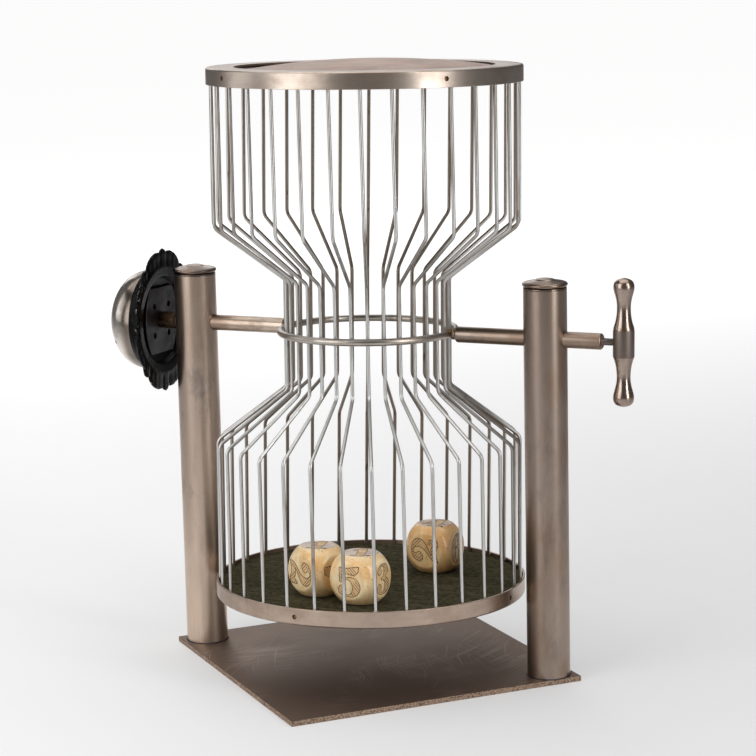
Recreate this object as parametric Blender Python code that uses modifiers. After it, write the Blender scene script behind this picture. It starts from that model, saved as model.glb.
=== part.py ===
"""Chuck-a-luck cage: an hourglass wire cage on a cross axle between two posts.

The cage holds three large dice, which tumble from one felted drum to the
other when the T-handle turns it over, and a bell on the axle's other end
rings as its loose clapper falls. Metres, +Z up, +X along the axle towards
the handle. The origin is the centre of the base plate's underside.
"""

import math

import bmesh
import bpy
from mathutils import Vector

# Gaps and cuts
SEAT_GAP = 0.0003
RUNNING_GAP = 0.0003
CUT_OVERRUN = 0.004
MERGE_DISTANCE = 0.00002
SHARP_EDGE_ANGLE = math.radians(32.0)
QUARTER_TURN = math.radians(90.0)
FULL_TURN = math.radians(360.0)

# Facets round a turn
DRUM_SIDES = 64
POST_SIDES = 32
AXLE_SIDES = 24
RING_SIDES = 48
HANDLE_SIDES = 20
BELL_SIDES = 36
HOLE_SIDES = 12
WIRE_BEVEL_RESOLUTION = 2

# Base plate
PLATE_WIDTH = 0.2764
PLATE_DEPTH = 0.2866
PLATE_THICKNESS = 0.0048
PLATE_EDGE_BEVEL = 0.0004
PLATE_TURN = math.radians(47.2)

# Posts and their caps, placed to clear the cage
POST_DIAMETER = 0.0381
POST_WALL = 0.0026
DRUM_TO_POST = 0.01135
CROWN_TO_PLATE = 0.0569
CAP_PLUG_DEPTH = 0.009
CAP_LIP_HEIGHT = 0.0011
CAP_GROOVE_HEIGHT = 0.0009
CAP_GROOVE_DEPTH = 0.0009
CAP_BEAD_HEIGHT = 0.0036
CAP_BEAD_OVERHANG = 0.0008
CAP_BEAD_STEPS = 4
CAP_DOME_RISE = 0.0020
CAP_BUTTON_DIAMETER = 0.0168
CAP_BUTTON_RISE = 0.0010
CAP_BUTTON_EDGE_SHARE = 0.8

# Axle
AXLE_BELOW_POST_TOP = 0.0441
AXLE_DIAMETER = 0.0142
AXLE_CHAMFER = 0.0011
RIGHT_NECK_DIAMETER = 0.0096
RIGHT_NECK_LENGTH = 0.0038
AXLE_OUTER_REACH = 0.0520
SPINDLE_DIAMETER = 0.0080
SPINDLE_TIP_DIAMETER = 0.0060

# Cage, shown as it came to rest: a little off upright and off centre
CAGE_REST_TURN = math.radians(-1.5)
CAGE_SHIFT = 0.0019
CAGE_DROP = 0.0016
CAGE_HEIGHT = 0.4734
DRUM_DIAMETER = 0.2794
DRUM_BAND_HEIGHT = 0.0148
DRUM_WALL = 0.0020
DRUM_SHOULDER = 0.0022
DRUM_SHOULDER_STEPS = 2
DRUM_LIP_THICKNESS = 0.0020
DRUM_LIP_WIDTH = 0.0247
BAND_HOLE_DIAMETER = 0.0032
BAND_HOLE_COUNT = 4
TOP_BAND_HOLE_ANGLE = math.radians(53.0)
BOTTOM_BAND_HOLE_ANGLE = math.radians(85.5)
HEAD_CROWN = 0.0070
HEAD_RECESS = 0.0015
HEAD_SHEET = 0.0012
HEAD_CROWN_STEPS = 4
FELT_DEPTH = 0.0034
FELT_THICKNESS = 0.0015

# Cage wires
WIRE_COUNT = 32
WIRE_DIAMETER = 0.0032
WIRE_BEND_RADIUS = 0.0085
WIRE_BEND_STEPS = 2
WAIST_BEND_HEIGHT = 0.0490
DRUM_BEND_HEIGHT = 0.0965
WIRE_PHASE = math.radians(1.2)
CAGE_TWIST = math.radians(3.4)

# Waist ring, soldered round the wires
RING_DIAMETER = 0.1566
RING_ROD_DIAMETER = 0.00635
RING_ROD_SIDES = 8

# T-handle and its stud
HANDLE_LENGTH = 0.112
HANDLE_DIAMETER = 0.0186
HANDLE_SHOWN_STUD = 0.0098
STUD_DIAMETER = 0.0064
STUD_AXLE_DEPTH = 0.010
STUD_HANDLE_DEPTH = 0.0085
HANDLE_HALF_SHARES = (
    (1.000, 0.00),
    (0.985, 0.45),
    (0.950, 0.80),
    (0.900, 0.94),
    (0.840, 0.975),
    (0.760, 0.875),
    (0.690, 0.757),
    (0.610, 0.670),
    (0.530, 0.642),
    (0.450, 0.665),
    (0.370, 0.720),
    (0.300, 0.820),
    (0.235, 0.945),
    (0.190, 1.00),
)

# Dice, their sides and places in shares of the drum's radius
DIE_SIDE_SHARE = 0.3121
DIE_BALL_SHARE = 0.3865
DIE_BALL_SEGMENTS = 24
DIE_BALL_RINGS = 16
DIE_PLACE_SHARES = (
    ("die_1", (-0.141, -0.498), math.radians(-22.0)),
    ("die_2", (0.190, -0.593), math.radians(-4.5)),
    ("die_3", (0.3085, 0.353), math.radians(-4.0)),
)

# Bell: hub, mounting plate and casting, heights measured from the casting's back
BELL_STAND_OFF = 0.0132
HUB_DIAMETER = 0.0156
HUB_POST_GAP = 0.0005
BELL_PLATE_HEIGHT = 0.0610
BELL_PLATE_WIDTH = 0.0588
BELL_PLATE_END_WIDTH = 0.0410
BELL_PLATE_ARC_STEPS = 8
BELL_PLATE_THICKNESS = 0.0020
BELL_PLATE_HOLE_DIAMETER = 0.0046
BELL_PLATE_HOLE_CIRCLE = 0.0380
BELL_PLATE_HOLE_COUNT = 4
CASTING_DIAMETER = 0.1330
CASTING_WIDTH_SHARE = 0.81
CASTING_DEPTH = 0.0130
CASTING_RIM_THICKNESS = 0.0030
CASTING_BEVEL_DIAMETER = 0.0980
CASTING_BEVEL_DEPTH = 0.0010
CASTING_RECESS_DIAMETER = 0.0820
CASTING_FLOOR_DIAMETER = 0.0772
CASTING_FLOOR_DEPTH = 0.0060
CASTING_WEB_THICKNESS = 0.0040
CASTING_CUP_DIAMETER = 0.0820
CASTING_CUP_FLOOR_DIAMETER = 0.0750
CASTING_SEAT_DIAMETER = 0.0940
CASTING_FLARE_SHARES = ((0.10, 0.60), (0.20, 0.35), (0.36, 0.20))
LOBE_COUNT = 8
LOBE_SHARES = (
    (0.07, 0.985),
    (0.14, 0.945),
    (0.24, 0.972),
    (0.36, 0.988),
    (0.50, 0.992),
    (0.64, 0.988),
    (0.76, 0.972),
    (0.86, 0.945),
    (0.93, 0.985),
    (1.00, 1.000),
)

# Gong and its screw
GONG_DIAMETER = 0.0920
GONG_DEPTH = 0.0338
GONG_WALL = 0.0016
GONG_FULLNESS = 2.2
GONG_MOUTH_GAP = 0.0005
GONG_ARC_STEPS = 7
GONG_HOLE_DIAMETER = 0.0034
GONG_HOLE_TURN = math.radians(243.0)
GONG_HOLE_TILT = math.radians(56.0)
SCREW_HEAD_DIAMETER = 0.0080
SCREW_HEAD_THICKNESS = 0.0012
SCREW_CROWN_SHARE = 0.67
SCREW_EDGE_SHARE = 0.8
SCREW_SHANK_DIAMETER = 0.0030
SCREW_SHANK_LENGTH = 0.0070

# Clapper, hung on a pin inside the gong
CLAPPER_PIN_RADIUS_OUT = 0.0240
CLAPPER_ARM = 0.0140
CLAPPER_HEAD_DIAMETER = 0.0120
CLAPPER_EYE_DIAMETER = 0.0088
CLAPPER_THICKNESS = 0.0050
CLAPPER_FROM_MOUTH = 0.0055
CLAPPER_ARC_STEPS = 8
PIN_DIAMETER = 0.0040
PIN_SHOULDER_DIAMETER = 0.0062
PIN_HEAD_THICKNESS = 0.0015

# Sizes that follow from those above
plate_top = PLATE_THICKNESS
drum_radius = DRUM_DIAMETER / 2
lip_radius = drum_radius - DRUM_LIP_WIDTH
band_bore_radius = drum_radius - DRUM_WALL
cage_top = CAGE_HEIGHT / 2
band_edge = cage_top - DRUM_BAND_HEIGHT
felt_face = band_edge + FELT_DEPTH
felt_back = felt_face + FELT_THICKNESS
head_foot = cage_top - DRUM_LIP_THICKNESS - SEAT_GAP - HEAD_SHEET
axle_rise = CROWN_TO_PLATE + HEAD_CROWN + cage_top + CAGE_DROP - SEAT_GAP
axle_height = plate_top + SEAT_GAP + axle_rise
axle_radius = AXLE_DIAMETER / 2
post_radius = POST_DIAMETER / 2
post_bore_radius = post_radius - POST_WALL
post_reach = drum_radius + DRUM_TO_POST + post_radius
post_height = axle_rise + AXLE_BELOW_POST_TOP
wire_radius = WIRE_DIAMETER / 2
wire_drum_radius = band_bore_radius - SEAT_GAP - wire_radius
wire_waist_radius = RING_DIAMETER / 2 - RING_ROD_DIAMETER / 2 - SEAT_GAP - wire_radius
wire_end = felt_face - SEAT_GAP
ring_outer_radius = RING_DIAMETER / 2 + RING_ROD_DIAMETER / 2
left_post_face = post_reach + post_radius + CAGE_SHIFT
right_post_face = post_reach + post_radius - CAGE_SHIFT
axle_end = right_post_face - post_radius + AXLE_OUTER_REACH
handle_reach = axle_end + HANDLE_SHOWN_STUD + HANDLE_DIAMETER / 2
casting_back = left_post_face + BELL_STAND_OFF
hub_start = left_post_face + HUB_POST_GAP
bell_plate_back = casting_back + CASTING_FLOOR_DEPTH - SEAT_GAP - BELL_PLATE_THICKNESS
gong_mouth = CASTING_DEPTH + GONG_MOUTH_GAP
gong_inner_crown = gong_mouth + GONG_DEPTH - GONG_WALL
clapper_height = gong_mouth + CLAPPER_FROM_MOUTH
die_side = drum_radius * DIE_SIDE_SHARE
die_ball_radius = drum_radius * DIE_BALL_SHARE / 2
die_rest_height = -felt_face + SEAT_GAP + die_side / 2

MATERIALS = {
    "aged_nickel": ((0.40, 0.36, 0.32), 0.36, 1.0),
    "cage_wire": ((0.50, 0.47, 0.43), 0.34, 1.0),
    "satin_steel": ((0.24, 0.20, 0.18), 0.48, 1.0),
    "drum_head": ((0.36, 0.27, 0.23), 0.52, 0.3),
    "board_wood": ((0.42, 0.29, 0.17), 0.70, 0.0),
    "green_felt": ((0.052, 0.062, 0.045), 0.95, 0.0),
    "dice_bone": ((0.72, 0.53, 0.31), 0.42, 0.0),
    "black_enamel": ((0.012, 0.012, 0.013), 0.28, 0.0),
    "bright_nickel": ((0.60, 0.55, 0.50), 0.16, 1.0),
    "dull_iron": ((0.11, 0.11, 0.12), 0.40, 1.0),
    "brass": ((0.42, 0.30, 0.16), 0.38, 1.0),
}


def clear_scene():
    """Remove every object that the file opened with."""
    for old in list(bpy.data.objects):
        bpy.data.objects.remove(old, do_unlink=True)


def make_collection(name):
    """Add a collection to the scene."""
    collection = bpy.data.collections.new(name)
    bpy.context.scene.collection.children.link(collection)
    return collection


def make_material(name, colour, roughness, metallic):
    """Make a Principled material of one colour."""
    material = bpy.data.materials.new(name)
    material.use_nodes = True
    shader = material.node_tree.nodes["Principled BSDF"]
    shader.inputs["Base Color"].default_value = (*colour, 1.0)
    shader.inputs["Roughness"].default_value = roughness
    shader.inputs["Metallic"].default_value = metallic
    material.diffuse_color = (*colour, 1.0)
    return material


def make_empty(name, location, parent=None, turn=0):
    """Add an empty that carries a group of pieces, turned about X."""
    empty = bpy.data.objects.new(name, None)
    parts.objects.link(empty)
    empty.location = location
    empty.rotation_euler = (turn, 0, 0)
    empty.parent = parent
    return empty


def add_piece(name, data, material, parent=None, location=(0, 0, 0), rotation=(0, 0, 0)):
    """Link a mesh or curve into the model as a named piece."""
    piece = bpy.data.objects.new(name, data)
    parts.objects.link(piece)
    if not data.materials:
        data.materials.append(materials[material])
    piece.parent = parent
    piece.location = location
    piece.rotation_euler = rotation
    return piece


def add_cutter(name, data, location=(0, 0, 0), rotation=(0, 0, 0)):
    """Link a mesh or curve as a cutting tool that isn't part of the model."""
    cutter = bpy.data.objects.new(name, data)
    cutters.objects.link(cutter)
    cutter.location = location
    cutter.rotation_euler = rotation
    cutter.hide_render = True
    cutter.display_type = "WIRE"
    return cutter


def profile_mesh(name, points, closed):
    """Make the edges of a turning profile from (radius, height) pairs."""
    mesh = bpy.data.meshes.new(name)
    vertices = [(radius, 0, height) for radius, height in points]
    edges = [(i, i + 1) for i in range(len(points) - 1)]
    if closed:
        edges.append((len(points) - 1, 0))
    mesh.from_pydata(vertices, edges, [])
    return mesh


def solid_mesh(working):
    """Read an object's evaluated shape as a welded, smooth-shaded mesh."""
    bpy.context.view_layer.update()
    graph = bpy.context.evaluated_depsgraph_get()
    mesh = bpy.data.meshes.new_from_object(working.evaluated_get(graph))
    shape = bmesh.new()
    shape.from_mesh(mesh)
    bmesh.ops.remove_doubles(shape, verts=shape.verts, dist=MERGE_DISTANCE)
    shape.to_mesh(mesh)
    shape.free()
    mesh.name = working.name
    mesh.shade_smooth()
    mesh.set_sharp_from_angle(angle=SHARP_EDGE_ANGLE)
    bpy.data.objects.remove(working, do_unlink=True)
    return mesh


def turned_mesh(name, points, sides, closed=False):
    """Turn a profile round Z with a Screw modifier."""
    working = bpy.data.objects.new(name, profile_mesh(name, points, closed))
    cutters.objects.link(working)
    screw = working.modifiers.new("turn", "SCREW")
    screw.steps = sides
    screw.render_steps = sides
    screw.use_merge_vertices = True
    screw.merge_threshold = MERGE_DISTANCE
    return solid_mesh(working)


def cylinder_mesh(name, diameter, length, sides=HOLE_SIDES):
    """Make a cylinder round Z, centred on its own origin."""
    mesh = bpy.data.meshes.new(name)
    shape = bmesh.new()
    bmesh.ops.create_cone(
        shape, cap_ends=True, segments=sides, radius1=diameter / 2, radius2=diameter / 2, depth=length
    )
    shape.to_mesh(mesh)
    shape.free()
    return mesh


def outline_curve(name, loops, thickness):
    """Make a flat outline, with any holes, that is thick along Z."""
    curve = bpy.data.curves.new(name, "CURVE")
    curve.dimensions = "2D"
    curve.fill_mode = "BOTH"
    curve.extrude = thickness / 2
    for loop in loops:
        spline = curve.splines.new("POLY")
        spline.points.add(len(loop) - 1)
        for point, (x, y) in zip(spline.points, loop):
            point.co = (x, y, 0, 1)
        spline.use_cyclic_u = True
    return curve


def combine(base, tools, operation):
    """Apply exact booleans of several tools to a mesh and return the result."""
    working = bpy.data.objects.new(base.name, base)
    cutters.objects.link(working)
    for tool in tools:
        step = working.modifiers.new(tool.name, "BOOLEAN")
        step.object = tool
        step.operation = operation
        step.solver = "EXACT"
    return solid_mesh(working)


def curve_as_mesh(name, curve):
    """Turn a curve into a welded mesh, so that it can be cut or can cut."""
    working = bpy.data.objects.new(name, curve)
    cutters.objects.link(working)
    return solid_mesh(working)


def arc_points(centre, radius, start, end, steps):
    """List points along an arc in a plane, both ends included."""
    points = []
    for i in range(steps + 1):
        angle = start + (end - start) * i / steps
        points.append((centre[0] + radius * math.cos(angle), centre[1] + radius * math.sin(angle)))
    return points


def rounded_corner(before, corner, after, radius, steps):
    """List points of the arc that rounds one corner of a route."""
    to_before = (before - corner).normalized()
    to_after = (after - corner).normalized()
    half_angle = to_before.angle(to_after) / 2
    bisector = (to_before + to_after).normalized()
    centre = corner + bisector * (radius / math.sin(half_angle))
    tangent = radius / math.tan(half_angle)
    start = corner + to_before * tangent - centre
    end = corner + to_after * tangent - centre
    sweep = start.angle(end)
    points = []
    for i in range(steps + 1):
        t = sweep * i / steps
        blend = (start * math.sin(sweep - t) + end * math.sin(t)) / math.sin(sweep)
        points.append(centre + blend)
    return points


def build_stand():
    """Make the base plate and the two capped posts that carry the axle."""
    plate = bpy.data.meshes.new("base_plate")
    shape = bmesh.new()
    bmesh.ops.create_cube(shape, size=1)
    bmesh.ops.scale(shape, vec=(PLATE_WIDTH, PLATE_DEPTH, PLATE_THICKNESS), verts=shape.verts)
    shape.to_mesh(plate)
    shape.free()
    base = add_piece("base_plate", plate, "satin_steel", stand, (0, 0, plate_top / 2), (0, 0, PLATE_TURN))
    edge = base.modifiers.new("broken_edges", "BEVEL")
    edge.width = PLATE_EDGE_BEVEL
    edge.segments = 1

    tube = turned_mesh(
        "post",
        [
            (post_bore_radius, post_height),
            (post_radius, post_height),
            (post_radius, 0),
            (post_bore_radius, 0),
        ],
        POST_SIDES,
        closed=True,
    )
    hole_diameter = AXLE_DIAMETER + 2 * RUNNING_GAP
    axle_hole = add_cutter(
        "post_axle_hole",
        cylinder_mesh("post_axle_hole", hole_diameter, POST_DIAMETER + CUT_OVERRUN, AXLE_SIDES),
        (0, 0, axle_rise),
        (0, QUARTER_TURN, 0),
    )
    tube = combine(tube, [axle_hole], "DIFFERENCE")
    cap = cap_mesh()
    for side, name in ((-1, "left_post"), (1, "right_post")):
        foot = (side * post_reach, 0, plate_top + SEAT_GAP)
        add_piece(name, tube, "aged_nickel", stand, foot)
        cap_place = (side * post_reach, 0, plate_top + SEAT_GAP + post_height + SEAT_GAP)
        add_piece(name + "_cap", cap, "aged_nickel", stand, cap_place)


def cap_mesh():
    """Turn a post cap: plug, thin lip, groove, rounded bead, shallow dome and button."""
    bead_radius = post_radius + CAP_BEAD_OVERHANG
    groove_radius = post_radius - CAP_GROOVE_DEPTH
    plug_radius = post_bore_radius - SEAT_GAP
    bead_foot = CAP_LIP_HEIGHT + CAP_GROOVE_HEIGHT
    bead_top = bead_foot + CAP_BEAD_HEIGHT
    button_radius = CAP_BUTTON_DIAMETER / 2
    dome_top = bead_top + CAP_DOME_RISE
    bead = arc_points(
        (bead_radius - CAP_BEAD_HEIGHT / 2, bead_foot + CAP_BEAD_HEIGHT / 2),
        CAP_BEAD_HEIGHT / 2,
        QUARTER_TURN,
        -QUARTER_TURN,
        CAP_BEAD_STEPS,
    )
    points = [
        (0, dome_top + CAP_BUTTON_RISE),
        (button_radius - CAP_BUTTON_RISE, dome_top + CAP_BUTTON_RISE * CAP_BUTTON_EDGE_SHARE),
        (button_radius, dome_top),
        *bead,
        (groove_radius, bead_foot),
        (groove_radius, CAP_LIP_HEIGHT),
        (post_radius, CAP_LIP_HEIGHT),
        (post_radius, 0),
        (plug_radius, 0),
        (plug_radius, -CAP_PLUG_DEPTH),
        (0, -CAP_PLUG_DEPTH),
    ]
    return turned_mesh("post_cap", points, POST_SIDES)


def build_axle():
    """Turn the two half axles, the handle's stud and the T-handle."""
    left_start = ring_outer_radius + SEAT_GAP
    shoulder = hub_start
    spindle_step = casting_back + CASTING_FLOOR_DEPTH + CASTING_WEB_THICKNESS
    spindle_end = casting_back + gong_inner_crown - SEAT_GAP
    bore_radius = SCREW_SHANK_DIAMETER / 2 + SEAT_GAP
    bore_end = spindle_end - SCREW_SHANK_LENGTH - SEAT_GAP
    left_points = [
        (0, bore_end),
        (bore_radius, bore_end),
        (bore_radius, spindle_end),
        (SPINDLE_TIP_DIAMETER / 2, spindle_end),
        (SPINDLE_TIP_DIAMETER / 2, spindle_step),
        (SPINDLE_DIAMETER / 2, spindle_step),
        (SPINDLE_DIAMETER / 2, shoulder),
        (axle_radius, shoulder),
        (axle_radius, left_start),
        (0, left_start),
    ]
    add_piece(
        "left_axle",
        turned_mesh("left_axle", left_points, AXLE_SIDES),
        "aged_nickel",
        cage,
        (0, 0, 0),
        (0, -QUARTER_TURN, 0),
    )

    neck_start = ring_outer_radius + SEAT_GAP
    body_start = neck_start + RIGHT_NECK_LENGTH
    stud_bore_radius = STUD_DIAMETER / 2 + SEAT_GAP
    stud_bore_end = axle_end - STUD_AXLE_DEPTH - SEAT_GAP
    right_points = [
        (0, stud_bore_end),
        (stud_bore_radius, stud_bore_end),
        (stud_bore_radius, axle_end),
        (axle_radius - AXLE_CHAMFER, axle_end),
        (axle_radius, axle_end - AXLE_CHAMFER),
        (axle_radius, body_start + AXLE_CHAMFER),
        (axle_radius - AXLE_CHAMFER, body_start),
        (RIGHT_NECK_DIAMETER / 2, body_start),
        (RIGHT_NECK_DIAMETER / 2, neck_start),
        (0, neck_start),
    ]
    add_piece(
        "right_axle",
        turned_mesh("right_axle", right_points, AXLE_SIDES),
        "aged_nickel",
        cage,
        (0, 0, 0),
        (0, QUARTER_TURN, 0),
    )

    stud_start = axle_end - STUD_AXLE_DEPTH
    stud_end = axle_end + HANDLE_SHOWN_STUD + STUD_HANDLE_DEPTH
    stud = cylinder_mesh("handle_stud", STUD_DIAMETER, stud_end - stud_start, HOLE_SIDES)
    add_piece(
        "handle_stud", stud, "dull_iron", cage, ((stud_start + stud_end) / 2, 0, 0), (0, QUARTER_TURN, 0)
    )

    half = [
        (HANDLE_DIAMETER / 2 * radius_share, HANDLE_LENGTH / 2 * height_share)
        for height_share, radius_share in HANDLE_HALF_SHARES
    ]
    handle = turned_mesh("turning_handle", half + [(r, -z) for r, z in reversed(half)], HANDLE_SIDES)
    socket_depth = HANDLE_DIAMETER / 2 + CUT_OVERRUN - (HANDLE_DIAMETER / 2 - STUD_HANDLE_DEPTH - SEAT_GAP)
    socket = add_cutter(
        "handle_socket",
        cylinder_mesh("handle_socket", STUD_DIAMETER + 2 * SEAT_GAP, socket_depth),
        (socket_depth / 2 - HANDLE_DIAMETER / 2 - CUT_OVERRUN, 0, 0),
        (0, QUARTER_TURN, 0),
    )
    handle = combine(handle, [socket], "DIFFERENCE")
    add_piece("turning_handle", handle, "aged_nickel", cage, (handle_reach, 0, 0))


def band_mesh():
    """Turn a drum's band with its inward lip and bore its four side holes."""
    shoulder = arc_points(
        (drum_radius - DRUM_SHOULDER, cage_top - DRUM_SHOULDER),
        DRUM_SHOULDER,
        QUARTER_TURN,
        0,
        DRUM_SHOULDER_STEPS,
    )
    points = [
        (lip_radius, cage_top),
        *shoulder,
        (drum_radius, band_edge),
        (band_bore_radius, band_edge),
        (band_bore_radius, cage_top - DRUM_LIP_THICKNESS),
        (lip_radius, cage_top - DRUM_LIP_THICKNESS),
    ]
    band = turned_mesh("drum_band", points, DRUM_SIDES, closed=True)
    hole_height = (cage_top + band_edge) / 2
    holes = []
    for i in range(BAND_HOLE_COUNT):
        angle = FULL_TURN * i / BAND_HOLE_COUNT
        centre = drum_radius - DRUM_WALL / 2
        holes.append(
            add_cutter(
                f"band_hole_{i + 1}",
                cylinder_mesh("band_hole", BAND_HOLE_DIAMETER, DRUM_WALL + CUT_OVERRUN),
                (centre * math.cos(angle), centre * math.sin(angle), hole_height),
                (0, QUARTER_TURN, angle),
            )
        )
    return combine(band, holes, "DIFFERENCE")


def head_mesh():
    """Turn a drum's sheet head: a crown that fills the lip's mouth and a flange under the lip."""
    shown_radius = lip_radius - SEAT_GAP
    edge_height = cage_top - HEAD_RECESS
    rise = HEAD_CROWN + HEAD_RECESS
    outer_radius = band_bore_radius - SEAT_GAP
    inner_radius = shown_radius - HEAD_SHEET
    crown = []
    hollow = []
    for i in range(HEAD_CROWN_STEPS + 1):
        share = i / HEAD_CROWN_STEPS
        crown.append((shown_radius * share, edge_height + rise * (1 - share**2)))
        hollow.append((inner_radius * share, edge_height - HEAD_SHEET + rise * (1 - share**2)))
    points = [
        *crown,
        (shown_radius, head_foot + HEAD_SHEET),
        (outer_radius, head_foot + HEAD_SHEET),
        (outer_radius, head_foot),
        (inner_radius, head_foot),
        *hollow[::-1],
    ]
    return turned_mesh("drum_head", points, DRUM_SIDES)


def build_drums():
    """Close each end of the cage with a band, a sheet head, a board and a felt."""
    band = band_mesh()
    head = head_mesh()
    disc_diameter = 2 * (band_bore_radius - SEAT_GAP)
    board_depth = head_foot - felt_back - 2 * SEAT_GAP
    board = cylinder_mesh("drum_board", disc_diameter, board_depth, DRUM_SIDES)
    board_centre = (head_foot + felt_back) / 2
    felt = cylinder_mesh("drum_felt", disc_diameter, FELT_THICKNESS, DRUM_SIDES)
    felt_centre = (felt_face + felt_back) / 2
    for name, tip, hole_angle in (
        ("top", 0, TOP_BAND_HOLE_ANGLE),
        ("bottom", 2 * QUARTER_TURN, BOTTOM_BAND_HOLE_ANGLE),
    ):
        turn = (tip, 0, hole_angle)
        add_piece(name + "_drum_band", band, "aged_nickel", drums, (0, 0, 0), turn)
        add_piece(name + "_drum_head", head, "drum_head", drums, (0, 0, 0), (tip, 0, 0))
        add_piece(name + "_drum_board", board, "board_wood", drums, (0, 0, board_centre * math.cos(tip)))
        add_piece(name + "_drum_felt", felt, "green_felt", drums, (0, 0, felt_centre * math.cos(tip)))


def wire_route():
    """List the points of one wire from the lower drum to the upper one."""
    corners = [
        (wire_drum_radius, -wire_end),
        (wire_drum_radius, -DRUM_BEND_HEIGHT),
        (wire_waist_radius, -WAIST_BEND_HEIGHT),
        (wire_waist_radius, WAIST_BEND_HEIGHT),
        (wire_drum_radius, DRUM_BEND_HEIGHT),
        (wire_drum_radius, wire_end),
    ]
    route = []
    for radius, height in corners:
        lean = -CAGE_TWIST / 2 * height / wire_end
        route.append(Vector((radius * math.cos(lean), radius * math.sin(lean), height)))
    points = [route[0]]
    for before, corner, after in zip(route, route[1:], route[2:]):
        points += rounded_corner(before, corner, after, WIRE_BEND_RADIUS, WIRE_BEND_STEPS)
    points.append(route[-1])
    return points


def build_wires():
    """Ring the cage with bent wires that share one curve."""
    curve = bpy.data.curves.new("cage_wire", "CURVE")
    curve.dimensions = "3D"
    curve.bevel_depth = wire_radius
    curve.bevel_resolution = WIRE_BEVEL_RESOLUTION
    curve.use_fill_caps = True
    points = wire_route()
    spline = curve.splines.new("POLY")
    spline.points.add(len(points) - 1)
    for point, place in zip(spline.points, points):
        point.co = (*place, 1)
    for i in range(WIRE_COUNT):
        angle = WIRE_PHASE + FULL_TURN * i / WIRE_COUNT
        add_piece(f"cage_wire_{i + 1:02d}", curve, "cage_wire", drums, (0, 0, 0), (0, 0, angle))


def build_waist_ring():
    """Turn the round ring that grips the wires at the waist."""
    section = arc_points(
        (RING_DIAMETER / 2, 0),
        RING_ROD_DIAMETER / 2,
        QUARTER_TURN,
        QUARTER_TURN - FULL_TURN,
        RING_ROD_SIDES,
    )[:-1]
    ring = turned_mesh("waist_ring", section, RING_SIDES, closed=True)
    add_piece("waist_ring", ring, "aged_nickel", cage)


def build_dice():
    """Make the three big dice: cubes whose edges and corners are cut to a ball."""
    cube = bpy.data.meshes.new("die_cube")
    shape = bmesh.new()
    bmesh.ops.create_cube(shape, size=1)
    bmesh.ops.scale(shape, vec=(die_side, die_side, die_side), verts=shape.verts)
    shape.to_mesh(cube)
    shape.free()
    ball = bpy.data.meshes.new("die_ball")
    shape = bmesh.new()
    bmesh.ops.create_uvsphere(
        shape, u_segments=DIE_BALL_SEGMENTS, v_segments=DIE_BALL_RINGS, radius=die_ball_radius
    )
    shape.to_mesh(ball)
    shape.free()
    die = combine(cube, [add_cutter("die_ball", ball)], "INTERSECT")
    for name, (x_share, y_share), yaw in DIE_PLACE_SHARES:
        place = (drum_radius * x_share, drum_radius * y_share, die_rest_height)
        add_piece(name, die, "dice_bone", drums, place, (0, 0, yaw))


def casting_mesh():
    """Turn the bell's dished casting and trim its flared rim to an upright oval of lobes."""
    rim_radius = CASTING_DIAMETER / 2
    seat_radius = CASTING_SEAT_DIAMETER / 2
    hole_radius = SPINDLE_DIAMETER / 2 + SEAT_GAP
    web_face = CASTING_FLOOR_DEPTH + CASTING_WEB_THICKNESS
    flare = [
        (
            seat_radius + (rim_radius - seat_radius) * out_share,
            CASTING_RIM_THICKNESS + (CASTING_DEPTH - CASTING_RIM_THICKNESS) * up_share,
        )
        for out_share, up_share in CASTING_FLARE_SHARES
    ]
    points = [
        (hole_radius, web_face),
        (CASTING_CUP_FLOOR_DIAMETER / 2, web_face),
        (CASTING_CUP_DIAMETER / 2, CASTING_DEPTH),
        (seat_radius, CASTING_DEPTH),
        *flare,
        (rim_radius, CASTING_RIM_THICKNESS),
        (rim_radius, 0),
        (CASTING_BEVEL_DIAMETER / 2, 0),
        (CASTING_RECESS_DIAMETER / 2, CASTING_BEVEL_DEPTH),
        (CASTING_FLOOR_DIAMETER / 2, CASTING_FLOOR_DEPTH),
        (hole_radius, CASTING_FLOOR_DEPTH),
    ]
    casting = turned_mesh("bell_casting", points, BELL_SIDES, closed=True)
    outline = []
    for i in range(LOBE_COUNT):
        for pitch_share, radius_share in LOBE_SHARES:
            angle = FULL_TURN * (i + pitch_share) / LOBE_COUNT
            radius = rim_radius * radius_share
            outline.append((radius * math.cos(angle), radius * CASTING_WIDTH_SHARE * math.sin(angle)))
    lobes = curve_as_mesh(
        "casting_lobes", outline_curve("casting_lobes", [outline], 2 * (CASTING_DEPTH + CUT_OVERRUN))
    )
    return combine(casting, [add_cutter("casting_lobes", lobes)], "INTERSECT")


def gong_mesh():
    """Turn the gong's domed shell and bore its small side hole."""
    hole_radius = SCREW_SHANK_DIAMETER / 2 + SEAT_GAP
    outer_radius = GONG_DIAMETER / 2
    inner_radius = outer_radius - GONG_WALL
    inner_depth = GONG_DEPTH - GONG_WALL
    outer = dome_points(outer_radius, GONG_DEPTH, hole_radius)
    inner = dome_points(inner_radius, inner_depth, hole_radius)
    gong = turned_mesh("gong", outer + inner[::-1], BELL_SIDES, closed=True)
    power = 2 / GONG_FULLNESS
    out = math.sin(GONG_HOLE_TILT) ** power
    place = Vector(
        (
            outer_radius * out * math.cos(GONG_HOLE_TURN),
            outer_radius * out * math.sin(GONG_HOLE_TURN),
            GONG_DEPTH * math.cos(GONG_HOLE_TILT) ** power,
        )
    )
    cutter = add_cutter(
        "gong_hole",
        cylinder_mesh("gong_hole", GONG_HOLE_DIAMETER, GONG_WALL + 2 * CUT_OVERRUN),
        place,
        place.to_track_quat("Z", "Y").to_euler(),
    )
    return combine(gong, [cutter], "DIFFERENCE")


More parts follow.
